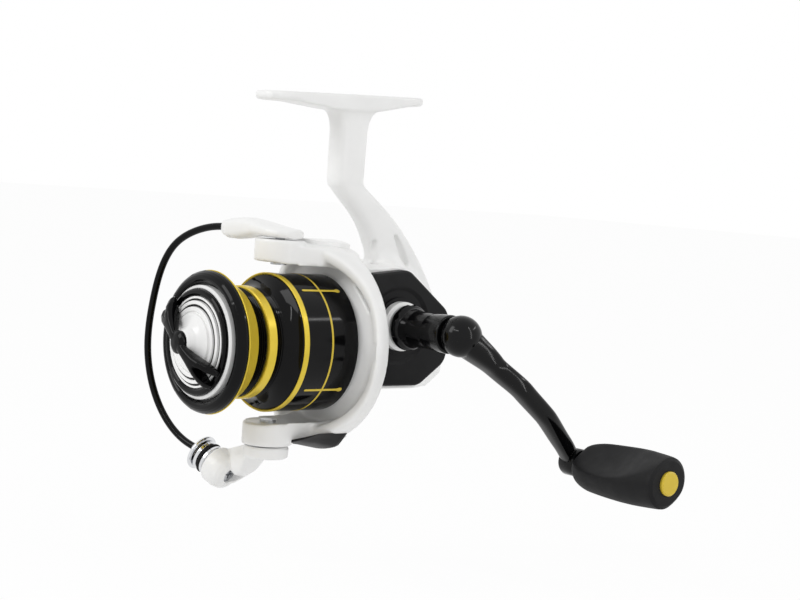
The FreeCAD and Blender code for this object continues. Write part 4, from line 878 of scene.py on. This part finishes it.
def stem_root():
    """The stem flares into the foot: (below the sole, half width, half length) stations."""
    loops = []
    for drop, wide, long in ((2.6, 6.1, 11.0), (3.8, 6.1, 10.4), (4.8, 5.8, 8.6), (6.2, 5.1, 7.3),
                             (8.2, 4.5, 6.5), (11.0, 4.3, 6.0), (28.0, 4.25, 5.8), (30.0, 3.9, 5.2)):
        loops.append(section((0, root_place, sole - drop), (wide, 0, 0), (0, long, 0), 4.0, 48))
    return lofted("body.root", loops)


def foot_blade():
    """The foot with rounded tips: (along, half width, thickness) stations, a little tilted."""
    loops = []
    for along, half, thick in ((-32.0, 3.0, 2.0), (-31.0, 4.6, 2.9), (-28.5, 5.5, 3.1), (-20.0, 6.2, 3.4),
                               (-6.0, 6.3, 4.4), (8.0, 6.3, 4.4), (20.0, 6.2, 3.4), (28.5, 5.5, 3.1),
                               (31.0, 4.6, 2.9), (32.0, 3.0, 2.0)):
        top = sole + along * math.tan(foot_tilt)
        centre = (0, along + foot_middle, top - thick / 2)
        loops.append(section(centre, (half, 0, 0), (0, 0, thick / 2), 4.5, 40))
    return lofted("body.blade", loops)


def body_hips():
    """The stem widens into the gear housing: (y, z, half width, half height) stations."""
    loops = []
    up = Vector((0, 0.77, 0.64))
    for y, z, wide, high in ((3.4, 31.6, 3.9, 2.6), (5.0, 28.5, 4.6, 5.0), (9.0, 24.0, 6.2, 6.0),
                             (14.0, 19.0, 7.6, 7.0), (18.5, 13.0, 8.0, 7.6)):
        loops.append(section((0, y, z), (wide, 0, 0), up * high, 2.6, 48))
    return lofted("body.hips", loops)


# %% Body casting
slot_route = [(0.2, 34.4), (0.3, 31.0), (0.5, 27.5), (0.9, 23.6)]
slot_widths = (1.2, 1.9, 2.0, 1.3)
wedge_route = [(8.2, 36.6), (10.2, 33.4), (12.4, 29.6), (14.6, 26.0)]
wedge_widths = (1.0, 2.1, 2.8, 2.0)
groove_depth = 3.0
stem_side = 4.7


def body_casting():
    parts = [copy_of("body"), stem_root(), foot_blade(), body_hips()]
    cuts = []
    for side in (stem_side, -stem_side):
        cuts.append(groove("body.slot", slot_route, slot_widths, groove_depth, side))
        cuts.append(groove("body.wedge", wedge_route, wedge_widths, groove_depth, side))
    skin = cast("body_casting", parts, 0.5, 5, cuts)
    return finished(thinned(skin, 0.55), "frame", WHITE_ENAMEL, "white_plastic", "body")


body_casting()


# %% Rim, arms and slots of the rotor
rim_rear = -13.2
rim_front = -17.6
rim_radius = 29.4
arm_height = 29.6
arm_climb = 13.5


def rotor_hoop(side):
    """The rim swells towards each arm: a loft round the shaft whose front edge climbs to the arm."""
    loops = []
    for step in range(25):
        angle = math.radians(-84 + 168 * step / 24)
        climb = max(0.0, 1 - abs(math.degrees(angle)) / 74)
        front = rim_front - arm_climb * climb ** 2.1
        rise = 1.5 * climb ** 1.5
        out = Vector((math.sin(angle), 0, math.cos(angle) * side))
        centre = out * (rim_radius + rise / 2) + Vector((0, (front + rim_rear) / 2, 0))
        deep = Vector((0, (rim_rear - front) / 2, 0))
        loops.append(section(centre, deep, out * (1.75 + rise / 2), 4.0, 32))
    return lofted("rotor.hoop", loops)


def rotor_arm(side):
    """An arm along the shaft: (y, half width, half height) stations, narrower towards its pad."""
    loops = []
    for y, wide, high in ((-41.5, 3.4, 1.6), (-40.0, 5.9, 2.6), (-36.0, 7.4, 3.0), (-30.0, 7.9, 2.9),
                          (-24.0, 8.8, 2.7), (-18.0, 11.5, 2.4)):
        loops.append(section((0, y, side * arm_height), (wide, 0, 0), (0, 0, high), 3.4, 40))
    return lofted("rotor.arm", loops)


def rotor_slot(turn):
    """A curved cutter through the rim, turned round the shaft by that many degrees."""
    spin = Matrix.Rotation(math.radians(turn), 3, "Y")
    route = [(14.6, 19.3), (17.2, 17.2), (20.2, 14.2), (22.6, 11.4)]
    loops = []
    for index, (x, z) in enumerate(route):
        before, after = route[max(index - 1, 0)], route[min(index + 1, len(route) - 1)]
        way = Vector((after[0] - before[0], 0, after[1] - before[1])).normalized()
        across = Vector((-way.z, 0, way.x))
        centre = spin @ Vector((x * 1.08, -16.0, z * 1.08))
        loops.append(section(centre, spin @ (across * 1.25), (0, 5.0, 0), 2.4, 20))
    return lofted("rotor.slot", loops)


# %% Rotor casting
def rotor_casting():
    parts = [copy_of("rotor"), rotor_hoop(1), rotor_hoop(-1), rotor_arm(1), rotor_arm(-1)]
    skin = cast("rotor_casting", parts, 0.45, 4, [rotor_slot(0), rotor_slot(180)])
    return finished(thinned(skin, 0.55), "rotor", WHITE_ENAMEL, "white_plastic", "rotor")


rotor_casting()

# %% [markdown]
# ### Dark keel
#
# A black moulding covers the lower arm's root and fades out along the rim.  Its section is a wedge all
# the way, so the wedge is drawn once and swept round, and it gets lower and shorter at the two ends.

# %% Dark keel under the lower arm
keel_base = 31.6
keel_rear = -15.4
keel_half_angle = 29


def keel():
    """A wedge in section, swept round the underside of the rim and thinner towards its two sides."""
    wedge = softened([(-32.2, keel_base), (-32.0, 32.4), (-25.2, 33.3), (-17.2, 34.9), (-15.6, 34.7),
                      (keel_rear, keel_base)], 0.7)
    loops = []
    for step in range(21):
        angle = math.radians(-keel_half_angle + 2 * keel_half_angle * step / 20)
        out = Vector((math.sin(angle), 0, -math.cos(angle)))
        flank = 1 - abs(step - 10) / 10
        share = min(1.0, 0.15 + 2.6 * flank) if flank < 0.35 else 1.0
        loop = []
        for y, radius in wedge:
            along = keel_rear + (y - keel_rear) * (0.62 + 0.38 * share)
            loop.append(out * (keel_base + (radius - keel_base) * share) + Vector((0, along, 0)))
        loops.append(loop)
    piece = lofted("keel", loops)
    return finished(piece, "rotor", SATIN_BLACK, "dark_plastic", "lower_arm_cover")


keel()

# %% [markdown]
# ## The bail
#
# Two arms swing on the rotor's pads and carry the wire between them.  The upper one is a domed white
# arm, the lower one is cranked and ends in the round head of the line roller.  Both are lofted along
# the way from the pivot to the wire, and melted so that hub, web and head run into each other.

# %% Upper arm
bail_joint = next(joint for joint in frame["joints"] if joint["child"] == "bail")
pivot = Vector((0, (Vector(bail_joint["pos_m"]).y - crank_place.y) * 1000, 0))
bail_lean = math.radians(195)
bail_way = Vector((math.cos(bail_lean), math.sin(bail_lean), 0))
bail_across = Vector((-bail_way.y, bail_way.x, 0))


def upper_arm():
    """A dome over the pivot that narrows to the wire: (out, half width, low, high) stations."""
    loops = []
    for out, half, low, high in ((-7.3, 1.0, 33.7, 35.9), (-6.6, 3.8, 33.4, 36.3), (-4.0, 6.6, 33.4, 36.6),
                                 (0.0, 7.4, 33.4, 37.0), (4.0, 6.7, 33.4, 37.8), (8.0, 5.6, 33.4, 38.6),
                                 (12.0, 4.7, 32.4, 39.1), (16.0, 4.2, 31.8, 38.9), (20.0, 3.7, 31.8, 38.2),
                                 (22.4, 2.8, 32.6, 37.6), (23.5, 1.8, 33.6, 36.8)):
        centre = pivot + bail_way * out + Vector((0, 0, (low + high) / 2))
        loops.append(section(centre, bail_across * half, (0, 0, (high - low) / 2), 3.0, 40))
    skin = cast("upper_arm_dome", [lofted("upper.arm", loops)], 0.3, 3)
    return finished(skin, "bail", WHITE_ENAMEL, "white_plastic", "bail_cam")


upper_arm()


# %% Lower arm
pin_radius = 1.6
seat_radius = 2.7


def lower_web():
    """The cranked web: (out, sideways, half width, middle height, half height) stations."""
    loops = []
    for out, shift, half, middle, high in ((-2.0, 0.0, 6.2, -35.5, 1.8), (3.0, -0.4, 6.1, -35.8, 2.2),
                                           (7.0, -1.0, 5.4, -38.7, 4.9), (11.0, -1.9, 4.4, -40.6, 5.5),
                                           (15.0, -3.0, 3.2, -42.4, 6.0), (18.5, -3.4, 2.6, -43.6, 6.0)):
        centre = pivot + bail_way * out + bail_across * shift + Vector((0, 0, middle))
        loops.append(section(centre, bail_across * half, (0, 0, high), 2.8, 40))
    return lofted("lower.web", loops)


def lower_arm():
    hub = rod("lower.hub", ((-37.3, 6.4), (-36.9, 7.2), (-34.0, 7.4), (-33.4, 6.9)), REEL, pivot, 64, "Z")
    head = turned("lower.head", [(-2.6, 1.6), (-2.6, 2.7), (-4.9, 2.7), (-4.85, 3.6), (-4.2, 5.0),
                  (-2.9, 5.9), (-1.0, 6.3), (2.6, 6.3), (3.2, 5.9), (3.2, 1.6)], ROLLER, 0.3, 96)
    bore = rod("lower.bore", ((-36.9, pin_radius), (-33.0, pin_radius)), REEL, pivot, 24, "Z")
    seat = rod("lower.seat", ((-10.0, seat_radius), (-2.6, seat_radius)), ROLLER, count=40)
    skin = cast("lower_arm_casting", [hub, lower_web(), head], 0.26, 4, [bore, seat])
    return finished(skin, "bail", WHITE_ENAMEL, "white_plastic", "roller_arm")


lower_arm()

# %% [markdown]
# ### Line roller
#
# The line runs over a hard chrome roller with a black rubber ring in its groove, and a chrome flange
# beside it takes the end of the wire.  All three are round about the roller's own line, so they are
# turned there, and the roller can spin.

# %% Line roller, its rubber ring and the wire's foot
groove_radius = 4.5
finished(turned("roller_drum", [(3.6, 2.6), (3.6, 4.9), (4.0, 5.35), (5.0, 5.2), (5.4, groove_radius),
         (6.4, groove_radius), (6.8, 5.2), (7.8, 5.35), (8.1, 4.9), (8.1, 2.6)], ROLLER, 0.2, 96),
         "line_roller", CHROME, "chrome", "line_roller")
finished(turned("roller_ring", [(5.4, 4.3), (5.45, 5.1), (5.9, 5.5), (6.35, 5.1), (6.4, 4.3)], ROLLER,
         0.3, 96), "line_roller", SOFT_RUBBER, "black_metal")
finished(turned("wire_flange", [(8.9, 1.5), (8.8, 5.2), (9.0, 5.95), (9.4, 6.1), (9.9, 6.0), (10.3, 5.1),
         (10.8, 3.4), (11.6, 2.3), (12.9, 1.6), (12.8, 0.4), (11.9, 0.4), (11.8, 1.5)], ROLLER, 0.25, 96),
         "bail", CHROME, "chrome", "wire_foot")

# %% [markdown]
# ## The handle
#
# The shank screws into the crank axle behind a fluted flange.  A ball joins it to the curved arm, and
# the arm carries a soft paddle that spins on its own axle.  The shank is turned, its six flutes are
# drilled into the flange's edge, and it is melted so that the flutes get soft edges.

# %% Shank with its fluted flange
flute_count = 6
flute_radius = 2.2
flute_ring = 9.2


def shank():
    bar = turned("shank.bar", [(23.0, 3.6), (23.0, 7.0), (24.2, 7.5), (25.6, 7.4), (26.6, 6.4), (29.0, 5.9),
                 (36.0, 5.7), (41.0, 6.1), (44.6, 6.2), (44.8, 5.4), (44.8, 2.6), (28.0, 2.6), (27.0, 3.6)],
                 CRANK, 0.4, 96)
    cuts = []
    for index in range(flute_count):
        angle = 2 * math.pi * (index + 0.5) / flute_count
        centre = Vector((0, math.cos(angle), math.sin(angle))) * flute_ring
        steps = [(x, flute_radius) for x in (22, 26.2, 27.4)]
        cuts.append(rod("shank.flute", steps, CRANK, centre, 24))
    skin = cast("shank_skin", [bar], 0.24, 2, cuts)
    return finished(skin, "crank", HANDLE_BLACK, "black_metal", "handle_shank")


shank()

# %% [markdown]
# ### Curved arm
#
# The arm leaves the ball, leans outwards and comes back to its boss.  One section follows a smooth
# curve and gets thinner as it goes.  Ball and boss are joined on exactly instead of melted, because a
# long smooth bar shows every ripple of a melted skin in its highlights.

# %% Curved arm
reach = arm_way.length * 1000
knuckle = 49.5
ball_radius = 6.6
ball_flat, ball_flat_radius = 44.9, 4.77
arm_stations = 56
boss_steps = ((55.6, 3.6), (55.9, 4.3), (56.6, 4.6), (61.6, 4.6), (62.4, 4.3), (62.7, 3.6))
axle_bore = 3.15


def arm_middle(share):
    """How far out along the axle the arm's middle lies, at a share of its reach."""
    stops = [(0, 0), (0.20, 5.2), (0.40, 10.6), (0.61, 12.4), (0.83, 10.8), (1, 8.8)]
    for (start, low), (end, high) in zip(stops, stops[1:]):
        if share <= end:
            t = (share - start) / (end - start)
            return knuckle + low + (high - low) * t * t * (3 - 2 * t) * 0.5 + (high - low) * t * 0.5
    return knuckle + stops[-1][1]


def arm_bar():
    """The bar: thick and wide at the ball, thinner towards the boss, square to its own curve."""
    loops = []
    for step in range(arm_stations + 1):
        share = step / arm_stations
        centre = Vector((arm_middle(share), share * reach, 0))
        thick = (9.3 - 4.3 * share + 1.9 * max(0.0, 1 - share * 4)) / 2
        wide = 3.1 - 0.3 * share + 1.9 * max(0.0, 1 - share * 4.5)
        rise = arm_middle(min(share + 0.02, 1)) - arm_middle(max(share - 0.02, 0))
        ahead = Vector((rise, 0.04 * reach, 0))
        across = Vector((ahead.y, -ahead.x, 0)).normalized()
        loops.append(section(centre, across * thick, (0, 0, wide), 2.9, 64))
    return lofted("arm.bar", loops, HANDLE)


def arm_ball():
    """The knuckle ball, cut flat where the shank ends."""
    arc = []
    for step in range(25):
        angle = math.pi * step / 24
        along = knuckle - ball_radius * math.cos(angle)
        if along > ball_flat:
            arc.append((along, ball_radius * math.sin(angle)))
    outline = [(ball_flat, 0.0), (ball_flat, ball_flat_radius), *arc[1:-1], (knuckle + ball_radius, 0.0)]
    return turned("arm.ball", outline, CRANK, 0.1, 96)


def crank_arm():
    bar, ball = arm_bar(), arm_ball()
    boss = rod("arm.boss", boss_steps, HANDLE, (0, reach, 0), 40)
    hollow = rod("arm.bore", ((40, axle_bore), (49.3, axle_bore)), CRANK, count=32)
    carve(bar, ball, "UNION")
    carve(bar, boss, "UNION")
    carve(bar, hollow)
    piece = baked(bar, "crank_arm")
    discard(bar, ball, boss, hollow)
    clean(piece.data, 40)
    return finished(piece, "crank", HANDLE_BLACK, "black_metal", "handle_arm")


crank_arm()

# %% [markdown]
# ### Paddle
#
# The paddle is flat, broadest past its middle, hollowed for the thumb and thicker at its end.  A box with
# bevels would have none of that, so it is ruled: one curve gives the outline, one the thickness and one
# the hollow, and each row of points round it follows from the three.

# %% Paddle
grip_start, grip_end = (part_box("grip")[0].x * 1000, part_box("grip")[1].x * 1000)
paddle_length = grip_end - grip_start
paddle_lean = math.radians(35)
paddle_rows, paddle_count = 48, 96
end_round = 1.2
neck_length, neck_depth = 8, 2.6
bush_bore, cap_seat = 3.4, 3.95


def quarter_round(distance, radius):
    """How far in a quarter round has drawn, from one at its start to zero at a radius's distance."""
    return 1 - math.sqrt(max(0.0, 1 - (1 - distance / radius) ** 2))


def paddle_row(share):
    """The points round the paddle at a share of its length."""
    wide_way = Vector((0, math.cos(paddle_lean), math.sin(paddle_lean)))
    thin_way = Vector((0, -math.sin(paddle_lean), math.cos(paddle_lean)))
    half = 7.9 + 2.0 * math.sin(math.pi * 0.58 * min(share / 0.8, 1.0))
    half -= 1.3 * share ** 3
    thick = 4.9 - 0.3 * math.sin(math.pi * min(share / 0.7, 1.0))
    thick += 3.4 * max(0.0, (share - 0.35) / 0.65) ** 2
    near = min(share, 1 - share) * paddle_length
    if near < end_round:
        close = quarter_round(near, end_round)
        half -= end_round * close
        thick -= end_round * close
    if share * paddle_length < neck_length:
        half -= neck_depth * quarter_round(share * paddle_length, neck_length)
    hollow = 0.75 * math.sin(math.pi * min(share / 0.8, 1.0))
    loop = []
    for step in range(paddle_count):
        angle = 2 * math.pi * step / paddle_count
        y, z = half * math.cos(angle), 0.94 * half * math.sin(angle)
        face = thick - hollow * (1 - (y / half) ** 2)
        z = z / (1 + (abs(z) / face) ** 9) ** (1 / 9)
        loop.append(Vector((grip_start + share * paddle_length, 0, 0)) + wide_way * y + thin_way * z)
    return loop


def paddle():
    rows = [paddle_row(row / paddle_rows) for row in range(paddle_rows + 1)]
    skin = lofted("paddle_skin", rows, GRIP)
    bore = ((grip_start - 1, bush_bore), (grip_end - 5, bush_bore), (grip_end - 4.9, 0.2))
    mouth = ((grip_end - 1.7, cap_seat), (grip_end + 1, cap_seat))
    cutters = [rod("paddle.bore", bore, GRIP), rod("paddle.mouth", mouth, GRIP)]
    for cutter in cutters:
        carve(skin, cutter)
    piece = baked(skin, "paddle")
    discard(skin, *cutters)
    clean(piece.data, 30)
    return finished(piece, "handle_knob", SOFT_RUBBER, "dark_plastic", "grip")


paddle()

# %% [markdown]
# ## The studio
#
# A pale floor, a white surround, one soft box and four narrow strip lamps.  The surround is white to
# the camera and to reflections, and dimmer as a light, so a colour renders about as it is written.  The
# strips draw the long thin highlights on black lacquer.  The camera looks nearly level at the reel, from
# in front and on the handle's side, with a long lens, as for a catalogue.

# %% Floor and surround
floor_gap = 0.022
surround_light = 0.6


def looked_at(tree):
    """One for rays of the camera, of reflections and of clear pieces, zero for rays that carry light."""
    ray = add(tree, "ShaderNodeLightPath")
    seen = add(tree, "ShaderNodeMath", {"operation": "MAXIMUM"},
               {0: ray.outputs["Is Camera Ray"], 1: ray.outputs["Is Glossy Ray"]})
    also = add(tree, "ShaderNodeMath", {"operation": "MAXIMUM"},
               {0: seen.outputs[0], 1: ray.outputs["Is Transmission Ray"]})
    return also.outputs[0]


def stage_floor():
    """Paper that is white to the camera and still takes the reel's shadow."""
    size = 6.0
    height = cad_low.z - floor_gap
    mesh = bpy.data.meshes.new("studio_floor")
    corners = [(-size, -size, height), (size, -size, height), (size, size, height), (-size, size, height)]
    mesh.from_pydata(corners, [], [(0, 1, 2, 3)])
    floor = link("studio_floor", mesh)
    material, tree, shader, place = fresh("white_studio_paper")
    tree.links.new(tinted(tree, place, 60.0, "#FAFAFA", "#FCFCFC"), shader.inputs["Base Color"])
    shader.inputs["Roughness"].default_value = 0.9
    shader.inputs["Specular IOR Level"].default_value = 0.0
    glow = add(tree, "ShaderNodeEmission", {"Color": linear("#FFFFFF")})
    share = add(tree, "ShaderNodeMath", {"operation": "MULTIPLY", 1: 0.95}, {0: looked_at(tree)})
    paper = add(tree, "ShaderNodeMixShader", links={0: share.outputs[0], 1: shader.outputs["BSDF"],
                2: glow.outputs["Emission"]})
    out = next(node for node in tree.nodes if node.type == "OUTPUT_MATERIAL")
    tree.links.new(paper.outputs["Shader"], out.inputs["Surface"])
    mesh.materials.append(material)
    return floor


def surround(light_strength):
    world = bpy.data.worlds.new("white_surround")
    bpy.context.scene.world = world
    world.use_nodes = True
    tree = world.node_tree
    tree.nodes.clear()
    level = add(tree, "ShaderNodeMapRange", {"To Min": light_strength, "To Max": 1.0},
                {"Value": looked_at(tree)})
    glow = add(tree, "ShaderNodeBackground", {"Color": linear("#FFFFFF")},
               {"Strength": level.outputs["Result"]})
    add(tree, "ShaderNodeOutputWorld", links={"Surface": glow.outputs["Background"]})


stage_floor()
surround(surround_light)
print("floor at, mm:", round((cad_low.z - floor_gap) * 1000, 1))


# %% Lamps
def soft_lamp(name, place, target, size, watts):
    data = bpy.data.lights.new(name, "AREA")
    data.shape = "RECTANGLE"
    data.size, data.size_y = size
    data.energy = watts
    lamp = bpy.data.objects.new(name, data)
    bpy.context.scene.collection.objects.link(lamp)
    lamp.location = place
    lamp.rotation_euler = (Vector(target) - Vector(place)).to_track_quat("-Z", "Y").to_euler()
    return lamp


heart = (cad_low + cad_high) / 2
lamps = {
    "key_softbox": ((-0.25, -0.75, 0.45), (0.35, 0.5), 2.3),
    "side_strip": ((0.75, 0.2, 0.15), (0.03, 1.2), 1.5),
    "front_strip": ((0.2, -0.8, 0.5), (0.5, 0.03), 0.9),
    "rear_strip": ((0.5, 0.68, 0.5), (0.5, 0.04), 0.6),
    "low_strip": ((0.62, 0.6, -0.42), (0.5, 0.05), 0.35),
}
for name, (place, size, watts) in lamps.items():
    soft_lamp(name, place, heart, size, watts)
print("lamps:", len(lamps))

# %% Camera
camera_place = (0.46333, -0.36251, -0.02613)
camera_turn = (86.1596, -4.2106, 49.9324)
camera_data = bpy.data.cameras.new("studio_camera")
camera_data.lens = 81
camera_data.clip_start = 0.01
camera = bpy.data.objects.new("studio_camera", camera_data)
bpy.context.scene.collection.objects.link(camera)
camera.location = camera_place
camera.rotation_euler = [math.radians(angle) for angle in camera_turn]
bpy.context.scene.camera = camera
bpy.context.scene.view_settings.view_transform = "Standard"
print("camera from the reel's middle, mm:", round((Vector(camera_place) - heart).length * 1000))
